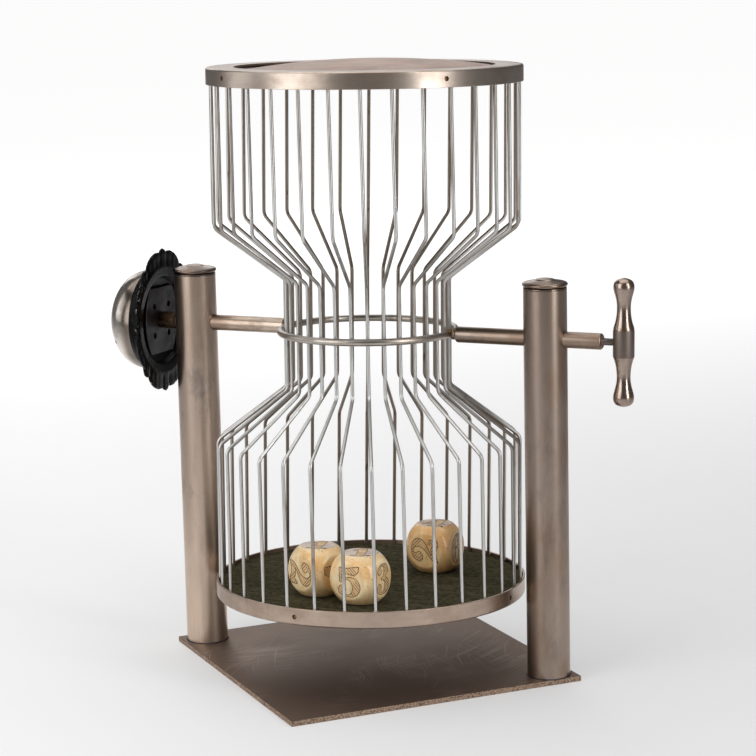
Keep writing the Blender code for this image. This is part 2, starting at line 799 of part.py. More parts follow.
def dome_points(radius, depth, hole_radius):
    """List points of a full-shouldered dome from a crown hole out to the mouth."""
    power = 2 / GONG_FULLNESS
    start = math.asin((hole_radius / radius) ** (1 / power))
    points = []
    for i in range(GONG_ARC_STEPS):
        angle = start + (QUARTER_TURN - start) * i / GONG_ARC_STEPS
        points.append((radius * math.sin(angle) ** power, depth * math.cos(angle) ** power))
    points.append((radius, 0))
    return points


def bell_plate_loops():
    """List the bell plate's outline, bowed at both sides, and the outlines of its holes."""
    half_height = BELL_PLATE_HEIGHT / 2
    half_width = BELL_PLATE_WIDTH / 2
    bow = half_width - BELL_PLATE_END_WIDTH / 2
    radius = (half_height**2 + bow**2) / (2 * bow)
    corner = math.acos(half_height / radius)
    outline = []
    for side, turn in ((1, 0), (-1, 2 * QUARTER_TURN)):
        centre = (0, side * (half_width - radius))
        start = turn + corner
        end = turn + 2 * QUARTER_TURN - corner
        outline += arc_points(centre, radius, start, end, BELL_PLATE_ARC_STEPS)
    loops = [outline, arc_points((0, 0), SPINDLE_DIAMETER / 2 + SEAT_GAP, 0, FULL_TURN, AXLE_SIDES)[:-1]]
    circle_radius = BELL_PLATE_HOLE_CIRCLE / 2
    for i in range(BELL_PLATE_HOLE_COUNT):
        angle = FULL_TURN * (i + 0.5) / BELL_PLATE_HOLE_COUNT
        place = (circle_radius * math.cos(angle), circle_radius * math.sin(angle))
        loops.append(arc_points(place, BELL_PLATE_HOLE_DIAMETER / 2, 0, FULL_TURN, HOLE_SIDES)[:-1])
    return loops


def build_bell():
    """Stack the bell on the spindle: hub, plate, casting, gong and screw."""
    outward = (0, -QUARTER_TURN, 0)
    hole_radius = SPINDLE_DIAMETER / 2 + SEAT_GAP
    hub_end = bell_plate_back - SEAT_GAP
    hub_points = [
        (hole_radius, hub_end),
        (HUB_DIAMETER / 2, hub_end),
        (HUB_DIAMETER / 2, hub_start + SEAT_GAP),
        (hole_radius, hub_start + SEAT_GAP),
    ]
    hub = turned_mesh("bell_hub", hub_points, AXLE_SIDES, closed=True)
    add_piece("bell_hub", hub, "brass", cage, (0, 0, 0), outward)

    plate_middle = -bell_plate_back - BELL_PLATE_THICKNESS / 2
    outline = outline_curve("bell_plate", bell_plate_loops(), BELL_PLATE_THICKNESS)
    plate = curve_as_mesh("bell_plate", outline)
    add_piece("bell_plate", plate, "dull_iron", cage, (plate_middle, 0, 0), outward)

    add_piece("bell_casting", casting_mesh(), "black_enamel", cage, (-casting_back, 0, 0), outward)
    mouth = -casting_back - gong_mouth
    add_piece("gong", gong_mesh(), "bright_nickel", cage, (mouth, 0, 0), outward)

    screw_seat = GONG_DEPTH + SEAT_GAP
    screw_points = [
        (0, screw_seat + SCREW_HEAD_THICKNESS),
        (SCREW_HEAD_DIAMETER / 2 * SCREW_CROWN_SHARE, screw_seat + SCREW_HEAD_THICKNESS * SCREW_EDGE_SHARE),
        (SCREW_HEAD_DIAMETER / 2, screw_seat),
        (SCREW_SHANK_DIAMETER / 2, screw_seat),
        (SCREW_SHANK_DIAMETER / 2, GONG_DEPTH - GONG_WALL - SCREW_SHANK_LENGTH),
        (0, GONG_DEPTH - GONG_WALL - SCREW_SHANK_LENGTH),
    ]
    screw = turned_mesh("gong_screw", screw_points, HOLE_SIDES)
    add_piece("gong_screw", screw, "bright_nickel", cage, (mouth, 0, 0), outward)


def build_clapper():
    """Hang the loose clapper on its pin inside the gong."""
    outward = (0, -QUARTER_TURN, 0)
    web_face = CASTING_FLOOR_DEPTH + CASTING_WEB_THICKNESS + SEAT_GAP
    shoulder = clapper_height - SEAT_GAP
    pin_head = clapper_height + CLAPPER_THICKNESS + SEAT_GAP
    pin_points = [
        (0, pin_head + PIN_HEAD_THICKNESS),
        (PIN_SHOULDER_DIAMETER / 2, pin_head + PIN_HEAD_THICKNESS),
        (PIN_SHOULDER_DIAMETER / 2, pin_head),
        (PIN_DIAMETER / 2, pin_head),
        (PIN_DIAMETER / 2, shoulder),
        (PIN_SHOULDER_DIAMETER / 2, shoulder),
        (PIN_SHOULDER_DIAMETER / 2, web_face),
        (0, web_face),
    ]
    pin = turned_mesh("clapper_pin", pin_points, HOLE_SIDES)
    add_piece("clapper_pin", pin, "dull_iron", cage, (-casting_back, 0, CLAPPER_PIN_RADIUS_OUT), outward)

    eye_radius = CLAPPER_EYE_DIAMETER / 2
    head_radius = CLAPPER_HEAD_DIAMETER / 2
    spread = math.acos((eye_radius - head_radius) / CLAPPER_ARM)
    eye = arc_points((0, 0), eye_radius, spread, FULL_TURN - spread, CLAPPER_ARC_STEPS)
    head = arc_points((CLAPPER_ARM, 0), head_radius, -spread, spread, CLAPPER_ARC_STEPS)
    hole = arc_points((0, 0), PIN_DIAMETER / 2 + RUNNING_GAP, 0, FULL_TURN, HOLE_SIDES)[:-1]
    clapper = curve_as_mesh("clapper", outline_curve("clapper", [eye + head, hole], CLAPPER_THICKNESS))
    pivot = (-casting_back - clapper_height - CLAPPER_THICKNESS / 2, 0, CLAPPER_PIN_RADIUS_OUT)
    swing = make_empty("clapper_axis", pivot, cage, -CAGE_REST_TURN)
    add_piece("clapper", clapper, "dull_iron", swing, (0, 0, 0), (0, QUARTER_TURN, 0))


clear_scene()
parts = make_collection("chuck_a_luck_cage")
cutters = make_collection("cutters")
materials = {name: make_material(name, *finish) for name, finish in MATERIALS.items()}
stand = make_empty("stand", (0, 0, 0))
cage = make_empty("cage_axis", (CAGE_SHIFT, 0, axle_height), None, CAGE_REST_TURN)
drums = make_empty("cage_middle", (0, 0, -CAGE_DROP), cage)
build_stand()
build_axle()
build_drums()
build_wires()
build_waist_ring()
build_dice()
build_bell()
build_clapper()
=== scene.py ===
"""Looks for an hourglass dice cage with a bell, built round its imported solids.

Every length is in metres in the frame of the solids: +X along the axle
towards the handle, +Z up, the origin under the middle of the base plate.
"""

from __future__ import annotations

import logging
import math
from dataclasses import dataclass
from enum import Enum
from typing import Any, Callable, Iterable, Mapping, Sequence

import bmesh
import bpy
from mathutils import Matrix, Vector


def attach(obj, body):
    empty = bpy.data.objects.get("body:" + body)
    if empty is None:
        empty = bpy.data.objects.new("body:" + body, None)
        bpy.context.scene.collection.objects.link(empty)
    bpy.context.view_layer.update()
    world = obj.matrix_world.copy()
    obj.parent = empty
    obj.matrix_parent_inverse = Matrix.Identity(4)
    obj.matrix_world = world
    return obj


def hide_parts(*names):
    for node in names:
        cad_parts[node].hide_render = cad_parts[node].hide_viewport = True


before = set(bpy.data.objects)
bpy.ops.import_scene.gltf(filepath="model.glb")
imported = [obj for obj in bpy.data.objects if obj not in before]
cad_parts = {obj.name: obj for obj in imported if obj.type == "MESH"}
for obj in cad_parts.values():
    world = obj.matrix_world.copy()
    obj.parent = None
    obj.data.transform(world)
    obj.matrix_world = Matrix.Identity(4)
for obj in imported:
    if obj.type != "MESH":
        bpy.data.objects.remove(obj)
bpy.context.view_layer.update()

logging.basicConfig(level=logging.INFO, format="%(message)s")
LOG = logging.getLogger("cage")

MM = 0.001
SHARP = math.radians(40.0)
NEARLY_STRAIGHT = math.radians(160)
CORNER_SHARE = 0.45
CORNER_STEPS = (0.0, 0.33, 0.67, 1.0)
TURN_STEPS = 96
DRILL_SIDES = 32
UPRIGHT_SLOPE = 0.1
OUTWARD_SHARE = 0.9
OUTER_SHARE = 0.985
QUARTER = math.pi / 2
Colour = tuple[float, float, float, float]
Point2 = tuple[float, float]
Triple = tuple[float, float, float]


class Body(Enum):
    """The moving bodies that pieces ride on."""

    STAND = "stand"
    CAGE = "cage"
    DIE_1 = "die_1_body"
    DIE_2 = "die_2_body"
    DIE_3 = "die_3_body"


class Slot(Enum):
    """The material slots of the record."""

    NICKEL = "aged_nickel"
    WIRE = "cage_wire"
    STEEL = "satin_steel"
    HEAD = "drum_head"
    FELT = "green_felt"
    BONE = "dice_bone"
    ENAMEL = "black_enamel"
    GONG = "bright_nickel"
    IRON = "dull_iron"
    BRASS = "brass"


# ---- shader workbench


class Signal:
    """A shader output that can be used in sums and products."""

    def __init__(self, box: "Paintbox", socket: bpy.types.NodeSocket) -> None:
        """Wrap one output socket of a paintbox."""
        self.box = box
        self.socket = socket

    def _work(self, operation: str, left: "Signal | float", right: "Signal | float") -> "Signal":
        """Add one Math node."""
        return self.box.add("ShaderNodeMath", {"operation": operation}, {0: left, 1: right})

    def __add__(self, other: "Signal | float") -> "Signal":
        """Sum."""
        return self._work("ADD", self, other)

    __radd__ = __add__

    def __sub__(self, other: "Signal | float") -> "Signal":
        """Difference."""
        return self._work("SUBTRACT", self, other)

    def __rsub__(self, other: float) -> "Signal":
        """Difference from a number."""
        return self._work("SUBTRACT", other, self)

    def __mul__(self, other: "Signal | float") -> "Signal":
        """Product."""
        return self._work("MULTIPLY", self, other)

    def __pow__(self, other: float) -> "Signal":
        """Power."""
        return self._work("POWER", self, other)

    def __abs__(self) -> "Signal":
        """Size without sign."""
        return self._work("ABSOLUTE", self, 0.0)

    def least(self, other: "Signal | float") -> "Signal":
        """The smaller of two values."""
        return self._work("MINIMUM", self, other)

    def most(self, other: "Signal | float") -> "Signal":
        """The larger of two values."""
        return self._work("MAXIMUM", self, other)

    def step(self, low: float, high: float) -> "Signal":
        """Rise smoothly from 0 at low to 1 at high.

        Args:
            low: value that gives 0.
            high: value that gives 1.

        Returns:
            The eased signal.
        """
        return self.box.add(
            "ShaderNodeMapRange",
            {"interpolation_type": "SMOOTHSTEP", "clamp": True},
            {"Value": self, "From Min": low, "From Max": high},
        )


class Paintbox:
    """Adds nodes to one material."""

    def __init__(self, name: str) -> None:
        """Start a material with an empty Principled shader.

        Args:
            name: the material's name.
        """
        self.material = bpy.data.materials.new(name)
        self.material.use_nodes = True
        self.tree = self.material.node_tree
        self.shader = self.tree.nodes["Principled BSDF"]

    def add(
        self,
        kind: str,
        settings: Mapping[str, Any] | None = None,
        sockets: Mapping[str | int, Any] | None = None,
        output: str | int = 0,
    ) -> Signal:
        """Add any node.

        Args:
            kind: the node's type.
            settings: its own settings, set first.
            sockets: values or signals of its inputs, by name or place.
            output: the output that is returned.

        Returns:
            The chosen output.
        """
        node = self.tree.nodes.new(kind)
        for key, value in (settings or {}).items():
            setattr(node, key, value)
        for key, value in (sockets or {}).items():
            if isinstance(value, Signal):
                self.tree.links.new(value.socket, node.inputs[key])
            else:
                node.inputs[key].default_value = value
        return Signal(self, node.outputs[output])

    def place(self) -> Signal:
        """Give the point's own coordinates on the piece."""
        return self.add("ShaderNodeTexCoord", output="Object")

    def axes(self, point: Signal) -> tuple[Signal, Signal, Signal]:
        """Split a point into its three coordinates.

        Args:
            point: the point.

        Returns:
            Its x, y and z.
        """
        split = self.add("ShaderNodeSeparateXYZ", None, {0: point})
        node = split.socket.node
        return split, Signal(self, node.outputs[1]), Signal(self, node.outputs[2])

    def reach(self, point: Signal, width_share: float = 1.0) -> Signal:
        """Give the distance from the piece's Z axis.

        Args:
            point: where it is read.
            width_share: share of its width along Y that the round shape keeps.

        Returns:
            The distance.
        """
        x, y, _ = self.axes(point)
        if width_share != 1.0:
            y = y * (1 / width_share)
        return (x * x + y * y) ** 0.5

    def stretch(self, point: Signal, scale: Triple) -> Signal:
        """Scale a point along each axis."""
        return self.add("ShaderNodeVectorMath", {"operation": "MULTIPLY"}, {0: point, 1: scale})

    def warp(self, point: Signal, scale: float, amount: float) -> Signal:
        """Push a point about with coloured noise.

        Args:
            point: the point to move.
            scale: how fine the noise is.
            amount: how far it pushes.

        Returns:
            The moved point.
        """
        sockets = {"Vector": point, "Scale": scale, "Detail": 3.0}
        push = self.add("ShaderNodeTexNoise", None, sockets, output="Color")
        push = self.add("ShaderNodeVectorMath", {"operation": "SCALE"}, {0: push, "Scale": amount})
        return self.add("ShaderNodeVectorMath", {"operation": "ADD"}, {0: point, 1: push})

    def noise(self, point: Signal, scale: float, detail: float, rough: float) -> Signal:
        """Give smooth noise between 0 and 1.

        Args:
            point: where it is read.
            scale: features per metre.
            detail: number of finer layers.
            rough: strength of the finer layers.

        Returns:
            The noise.
        """
        sockets = {"Vector": point, "Scale": scale, "Detail": detail, "Roughness": rough}
        return self.add("ShaderNodeTexNoise", None, sockets)

    def grain(self, point: Signal, scale: Triple, detail: float, rough: float) -> Signal:
        """Give smooth noise that is drawn out along some axes.

        Args:
            point: where it is read.
            scale: features per metre along each axis.
            detail: number of finer layers.
            rough: strength of the finer layers.

        Returns:
            The noise.
        """
        return self.noise(self.stretch(point, scale), 1.0, detail, rough)

    def scratches(self, point: Signal, scale: float, width: float, bend: float) -> Signal:
        """Give thin wandering lines.

        Args:
            point: where they are read.
            scale: lines per metre.
            width: share of a cell that a line covers.
            bend: how far the lines wander.

        Returns:
            1 on a line and 0 off it.
        """
        moved = self.warp(point, scale * 0.35, bend)
        sockets = {"Vector": moved, "Scale": scale}
        cells = self.add("ShaderNodeTexVoronoi", {"feature": "DISTANCE_TO_EDGE"}, sockets)
        return 1 - cells.step(0.0, width)

    def blend(
        self, share: Signal | float, first: Signal | Colour, second: Signal | Colour
    ) -> Signal:
        """Mix two colours.

        Args:
            share: how much of the second colour shows.
            first: colour at 0.
            second: colour at 1.

        Returns:
            The mixed colour.
        """
        colours = {0: share, 6: first, 7: second}
        return self.add("ShaderNodeMix", {"data_type": "RGBA"}, colours, output=2)

    def relief(self, height: Signal, depth: float, strength: float) -> Signal:
        """Turn a height into a bumped normal.

        Args:
            height: the height between 0 and 1.
            depth: the height of 1, in metres.
            strength: how much of it shows.

        Returns:
            The normal.
        """
        sockets = {"Height": height, "Distance": depth, "Strength": strength}
        return self.add("ShaderNodeBump", None, sockets)

    def feed(self, **sockets: Signal | float | Colour) -> None:
        """Set or link the shader's own sockets, named with _ for a space.

        Args:
            sockets: a value or signal for each socket.
        """
        for key, value in sockets.items():
            target = self.shader.inputs[key.replace("_", " ")]
            if isinstance(value, Signal):
                self.tree.links.new(value.socket, target)
            else:
                target.default_value = value


def tone(red: float, green: float, blue: float) -> Colour:
    """Give a colour its full alpha."""
    return (red, green, blue, 1.0)


@dataclass(frozen=True)
class Finish:
    """A named finish that paints one material the first time it is asked for."""

    name: str

    def paint(self, box: Paintbox) -> None:
        """Add the finish's nodes.

        Args:
            box: the material.
        """
        raise NotImplementedError

    def material(self) -> bpy.types.Material:
        """Give the finish's material.

        Returns:
            The material, made at the first call.
        """
        made = bpy.data.materials.get(self.name)
        if made:
            return made
        box = Paintbox(self.name)
        self.paint(box)
        return box.material


@dataclass(frozen=True)
class AgedNickel(Finish):
    """Satin nickel plate gone warm, with brown patina, bluish smudges, runs and pits, plus painted
    light where asked: a painted floor reflection lightening the foot and painted shade darkening a
    groove.
    """

    light: Colour = tone(0.47, 0.365, 0.295)
    brown: Colour = tone(0.255, 0.175, 0.125)
    stain: Colour = tone(0.085, 0.058, 0.043)
    smudge: Colour = tone(0.135, 0.125, 0.128)
    inside: Colour = tone(0.21, 0.155, 0.125)
    # pale colour of a painted floor reflection that lightens a post towards its foot
    bare_and_reflected: Colour = tone(0.80, 0.63, 0.50)
    # near-black painted shade for a groove
    painted_shade: Colour = tone(0.010, 0.007, 0.005)
    grain: Triple = (420.0, 420.0, 14.0)
    drift: Triple = (26.0, 26.0, 7.0)
    shine: float = 0.25
    dull: float = 0.14
    patina: float = 0.85
    smudged: float = 0.6
    # height up to which a painted floor reflection lightens the foot
    rubbed: float = 0.0
    lip: float = 0.0
    groove: Point2 | None = None

    def paint(self, box: Paintbox) -> None:
        """Add the finish's nodes.

        Args:
            box: the material.
        """
        point = box.place()
        clouds = box.grain(point, self.drift, 5.0, 0.62)
        patina = clouds.step(0.40, 0.64) * self.patina
        streaks = box.grain(point, self.grain, 3.0, 0.5)
        runs = box.grain(point, (90.0, 90.0, 9.0), 4.0, 0.6).step(0.60, 0.78)
        bent = box.warp(point, 30.0, 0.02)
        blue = box.grain(bent, (60.0, 60.0, 22.0), 4.0, 0.65).step(0.52, 0.74)
        pits = box.noise(point, 900.0, 2.0, 0.5).step(0.70, 0.78)
        colour = box.blend(patina, self.light, self.brown)
        colour = box.blend(blue * self.smudged, colour, self.smudge)
        colour = box.blend(runs * 0.7 * self.smudged, colour, self.stain)
        colour = box.blend((streaks - 0.35) * 0.35, colour, self.brown)
        colour = box.blend(pits * 0.7, colour, self.stain)
        if self.lip:
            inside = 1 - box.reach(point).step(self.lip - 0.9 * MM, self.lip + 0.5 * MM)
            colour = box.blend(inside * 0.62, colour, self.inside)
        # painted reflection: the post is lightened in streaks towards its foot, standing in for the
        # pale floor that it reflects
        if self.rubbed:
            foot = 1 - box.axes(point)[2].step(0.0, self.rubbed)
            colour = box.blend(foot * (0.35 + streaks * 0.5), colour, self.bare_and_reflected)
        # painted shade: the groove between the given heights is coloured near-black
        if self.groove:
            height = box.axes(point)[2]
            above, past = (height.step(z - 0.1 * MM, z + 0.1 * MM) for z in self.groove)
            colour = box.blend(above * (1 - past) * 0.94, colour, self.painted_shade)
        rough = self.shine + patina * self.dull + streaks * 0.08 + pits * 0.2 + blue * 0.06
        height = streaks * 0.5 + box.noise(point, 260.0, 3.0, 0.6) * 0.5 - pits
        relief = box.relief(height, 0.05 * MM, 0.35)
        box.feed(Base_Color=colour, Roughness=rough, Metallic=1.0, Normal=relief)


@dataclass(frozen=True)
class CageWire(Finish):
    """Drawn wire, silvery outside, browner on the side towards the cage's axis."""

    silver: Colour = tone(0.63, 0.625, 0.61)
    brown: Colour = tone(0.170, 0.110, 0.062)
    rust: Colour = tone(0.065, 0.040, 0.026)
    reach: float = 120.0 * MM

    def paint(self, box: Paintbox) -> None:
        """Add the finish's nodes.

        Args:
            box: the material.
        """
        point = box.place()
        x, y, z = box.axes(point)
        facing = box.add("ShaderNodeTexCoord", output="Normal")
        across, along, _ = box.axes(facing)
        outward = (across * x + along * y) * (1 / self.reach)
        inner = 1 - outward.step(-0.45, 0.35)
        patches = box.grain(point, (15.0, 15.0, 9.0), 3.0, 0.6)
        worn = patches.step(0.50, 0.66)
        spots = box.grain(point, (200.0, 200.0, 60.0), 2.0, 0.5).step(0.64, 0.74)
        near_top = z.step(110.0 * MM, 235.0 * MM) * patches.step(0.30, 0.60)
        brown = (worn * 0.55).most(inner * 0.82).most(near_top * 0.5)
        colour = box.blend(brown, self.silver, self.brown)
        colour = box.blend(spots * (0.12 + brown * 0.6), colour, self.rust)
        rough = 0.33 + brown * 0.10 + spots * 0.08
        box.feed(Base_Color=colour, Roughness=rough, Metallic=1.0)


@dataclass(frozen=True)
class PlateSteel(Finish):
    """Dark satin steel with haze, hand scratches and rusty chipped edges."""

    reach_x: float = 138.2 * MM
    reach_y: float = 143.3 * MM
    dark: Colour = tone(0.215, 0.156, 0.120)
    haze: Colour = tone(0.195, 0.142, 0.112)
    worn: Colour = tone(0.55, 0.45, 0.38)
    rust: Colour = tone(0.085, 0.045, 0.025)
    edge: Colour = tone(0.40, 0.285, 0.205)

    def swings(
        self, box: Paintbox, point: Signal, centre: Point2, fine: float, part: float, cut: float
    ) -> Signal:
        """Give thin arcs as a hand leaves them when it wipes round one place.

        Args:
            box: where the nodes go.
            point: where they are read.
            centre: the place that the hand swings round.
            fine: arcs per metre.
            part: patches of arcs per metre.
            cut: how high the noise must be for an arc.

        Returns:
            1 on an arc and 0 off it.
        """
        x, y, _ = box.axes(box.warp(point, 14.0, 0.008))
        off_x, off_y = x - centre[0], y - centre[1]
        reach = (off_x * off_x + off_y * off_y) ** 0.5
        along = {0: reach * fine, 1: x * 9.0, 2: y * 9.0}
        ribbon = box.add("ShaderNodeCombineXYZ", None, along)
        patches = box.noise(point, part, 3.0, 0.6).step(0.47, 0.62)
        return box.noise(ribbon, 1.0, 2.0, 0.5).step(cut, cut + 0.07) * patches

    def paint(self, box: Paintbox) -> None:
        """Add the finish's nodes.

        Args:
            box: the material.
        """
        point = box.place()
        x, y, _ = box.axes(point)
        inset = (self.reach_x - abs(x)).least(self.reach_y - abs(y))
        clouds = box.noise(box.warp(point, 9.0, 0.05), 13.0, 6.0, 0.62)
        grain = box.grain(point, (55.0, 900.0, 55.0), 3.0, 0.6)
        fine = self.swings(box, point, (-0.05, 0.22), 700.0, 14.0, 0.56)
        arcs = self.swings(box, point, (0.24, -0.10), 420.0, 11.0, 0.60)
        arcs = arcs.most(self.swings(box, point, (-0.06, -0.04), 500.0, 9.0, 0.60))
        rubbed = box.noise(point, 7.0, 4.0, 0.6).step(0.52, 0.72)
        colour = box.blend(clouds.step(0.40, 0.70) * 0.75, self.dark, self.haze)
        colour = box.blend(rubbed * 0.18, colour, self.worn)
        colour = box.blend((fine * 0.26).most(arcs * 0.30), colour, self.worn)
        chips = box.noise(point, 330.0, 5.0, 0.7)
        speck = box.noise(point, 620.0, 4.0, 0.75).step(0.46, 0.58)
        near_edge = 1 - (inset - chips * 1.6 * MM).step(-0.5 * MM, 0.4 * MM)
        side = 1 - inset.step(0.02 * MM, 0.25 * MM)
        side_colour = box.blend(speck * 0.9, self.edge, self.rust)
        colour = box.blend(near_edge * 0.8, colour, self.rust)
        colour = box.blend(side, colour, side_colour)
        rough = 0.40 + clouds * 0.14 + side * 0.25 - fine * 0.08 + grain * 0.06
        height = grain * 0.35 - fine - arcs - near_edge * 1.5 + speck * side
        metal = 0.88 - side * 0.35 - near_edge * 0.2
        relief = box.relief(height, 0.08 * MM, 0.5)
        box.feed(Base_Color=colour, Roughness=rough, Metallic=metal, Normal=relief)


@dataclass(frozen=True)
class HeadPaint(Finish):
    """Thin brown paint on a disc, scratched through to copper, with painted shade colouring the
    moat round its crown near-black.
    """

    paint_coat: Colour = tone(0.35, 0.245, 0.19)
    shade: Colour = tone(0.225, 0.155, 0.120)
    copper: Colour = tone(0.48, 0.135, 0.045)
    # near-black painted shade for the moat
    painted_shade: Colour = tone(0.006, 0.005, 0.004)
    edge: float = 112.9 * MM

    def paint(self, box: Paintbox) -> None:
        """Add the finish's nodes.

        Args:
            box: the material.
        """
        point = box.place()
        # painted shade: the moat round the crown's edge is coloured near-black, rougher and less
        # metallic
        moat_shade = box.reach(point).step(self.edge, self.edge + 0.7 * MM)
        clouds = box.noise(box.warp(point, 10.0, 0.04), 16.0, 6.0, 0.62)
        flat = box.stretch(point, (1.0, 1.0, 0.05))
        lines = box.scratches(flat, 24.0, 0.018, 0.07)
        lines = lines * box.noise(flat, 17.0, 4.0, 0.6).step(0.44, 0.58)
        rubs = box.noise(flat, 55.0, 5.0, 0.7).step(0.60, 0.76)
        rubs = rubs * box.noise(flat, 9.0, 2.0, 0.5).step(0.45, 0.62)
        bare_and_reflected = lines.most(rubs * 0.7)
        colour = box.blend(clouds.step(0.35, 0.68), self.paint_coat, self.shade)
        colour = box.blend(bare_and_reflected * 0.8, colour, self.copper)
        colour = box.blend(moat_shade, colour, self.painted_shade)
        height = box.noise(point, 240.0, 4.0, 0.6) * 0.4 - bare_and_reflected
        box.feed(
            Base_Color=colour,
            Roughness=0.40 + clouds * 0.16 - bare_and_reflected * 0.08 + moat_shade * 0.3,
            Metallic=(0.35 + bare_and_reflected * 0.4) * (1 - moat_shade),
            Normal=box.relief(height, 0.06 * MM, 0.5),
        )


@dataclass(frozen=True)
class GamingFelt(Finish):
    """Dark olive felt with short fibres and worn streaks."""

    deep: Colour = tone(0.010, 0.010, 0.005)
    pile: Colour = tone(0.078, 0.066, 0.032)
    dust: Colour = tone(0.120, 0.110, 0.072)
    sheen: Colour = tone(0.46, 0.42, 0.28)

    def paint(self, box: Paintbox) -> None:
        """Add the finish's nodes.

        Args:
            box: the material.
        """
        point = box.place()
        fibres = box.noise(box.warp(point, 500.0, 0.002), 1500.0, 4.0, 0.7)
        mat = box.noise(point, 210.0, 5.0, 0.7)
        bent = box.warp(point, 20.0, 0.01)
        streaks = box.grain(bent, (18.0, 120.0, 18.0), 5.0, 0.65).step(0.46, 0.68)
        lint = box.noise(point, 620.0, 2.0, 0.5).step(0.70, 0.78)
        colour = box.blend(mat.step(0.38, 0.62) * 0.7 + fibres * 0.3, self.deep, self.pile)
        colour = box.blend(streaks * 0.36 + lint * 0.5, colour, self.dust)
        box.feed(
            Base_Color=colour,
            Roughness=0.92,
            Sheen_Weight=0.05,
            Sheen_Roughness=0.5,
            Sheen_Tint=self.sheen,
            Specular_IOR_Level=0.06,
            Normal=box.relief(fibres * 0.6 + mat * 0.6, 0.30 * MM, 0.7),
        )


@dataclass(frozen=True)
class DiceBone(Finish):
    """Yellowed bone with growth lines, freckles, a painted mauve reflection on the top face and a
    polish on the rounding.
    """

    reach: float = 21.8 * MM
    light: Colour = tone(1.0, 0.81, 0.49)
    honey: Colour = tone(0.96, 0.56, 0.21)
    ochre: Colour = tone(0.72, 0.37, 0.105)
    brown: Colour = tone(0.22, 0.090, 0.030)
    painted_top_sheen: Colour = tone(0.50, 0.38, 0.35)

    def paint(self, box: Paintbox) -> None:
        """Add the finish's nodes.

        Args:
            box: the material.
        """
        point = box.place()
        x, y, z = box.axes(point)
        bent = box.warp(point, 40.0, 0.006)
        lines = box.grain(bent, (420.0, 90.0, 55.0), 4.0, 0.6)
        clouds = box.noise(point, 55.0, 5.0, 0.6)
        freckles = box.noise(point, 330.0, 3.0, 0.6).step(0.64, 0.71)
        spots = box.noise(point, 130.0, 2.0, 0.5).step(0.70, 0.76)
        flat = abs(x).most(abs(y)).most(abs(z))
        rim = 1 - flat.step(self.reach - 2.8 * MM, self.reach - 0.1 * MM)
        top = z.step(self.reach - 0.6 * MM, self.reach - 0.1 * MM)
        colour = box.blend(clouds.step(0.44, 0.68) * 0.6, self.light, self.honey)
        colour = box.blend(lines.step(0.50, 0.64) * 0.5, colour, self.honey)
        ochre = box.grain(bent, (34.0, 34.0, 22.0), 4.0, 0.65).step(0.55, 0.70)
        colour = box.blend(ochre * 0.6, colour, self.ochre)
        colour = box.blend(rim * 0.34, colour, self.honey)
        # painted reflection: a mauve tint on the top face
        colour = box.blend(top * (0.45 + clouds.step(0.25, 0.6) * 0.45), colour, self.painted_top_sheen)
        cracks = box.scratches(box.stretch(bent, (1.0, 1.0, 0.45)), 120.0, 0.014, 0.012)
        cracks = cracks * box.noise(point, 70.0, 3.0, 0.6).step(0.52, 0.62)
        colour = box.blend(cracks * 0.6, colour, self.brown)
        colour = box.blend(freckles.most(spots) * 0.75, colour, self.brown)
        box.feed(
            Base_Color=colour,
            Roughness=0.30 + lines * 0.12 - rim * 0.06,
            Coat_Weight=0.2 + rim * 0.5,
            Coat_Roughness=0.12,
            Subsurface_Weight=0.06,
            Subsurface_Radius=(0.004, 0.002, 0.001),
            Normal=box.relief(lines * 0.5 - freckles, 0.05 * MM, 0.4),
        )


@dataclass(frozen=True)
class NumeralInk(Finish):
    """Brown inlay line of a numeral."""

    ink: Colour = tone(0.030, 0.012, 0.006)
    faded: Colour = tone(0.125, 0.055, 0.024)

    def paint(self, box: Paintbox) -> None:
        """Add the finish's nodes.

        Args:
            box: the material.
        """
        worn = box.noise(box.place(), 260.0, 4.0, 0.7)
        colour = box.blend(worn.step(0.40, 0.70), self.ink, self.faded)
        relief = box.relief(worn, 0.04 * MM, 0.4)
        box.feed(Base_Color=colour, Roughness=0.55 + worn * 0.2, Normal=relief)


@dataclass(frozen=True)
class NumeralHatch(Finish):
    """Bone inside a numeral, shaded with fine engraved strokes."""

    bone: Colour = tone(0.86, 0.57, 0.28)
    ink: Colour = tone(0.12, 0.050, 0.022)

    def paint(self, box: Paintbox) -> None:
        """Add the finish's nodes.

        Args:
            box: the material.
        """
        point = box.place()
        strokes = box.add(
            "ShaderNodeTexWave",
            {"wave_type": "BANDS", "bands_direction": "DIAGONAL"},
            {"Vector": point, "Scale": 215.0, "Distortion": 1.2, "Detail": 1.0},
        )
        part = box.noise(point, 110.0, 3.0, 0.6).step(0.42, 0.52)
        cut = strokes.step(0.60, 0.76) * part
        colour = box.blend(cut * 0.78, self.bone, self.ink)
        relief = box.relief(0 - cut, 0.05 * MM, 0.5)
        box.feed(Base_Color=colour, Roughness=0.42 + cut * 0.2, Normal=relief)


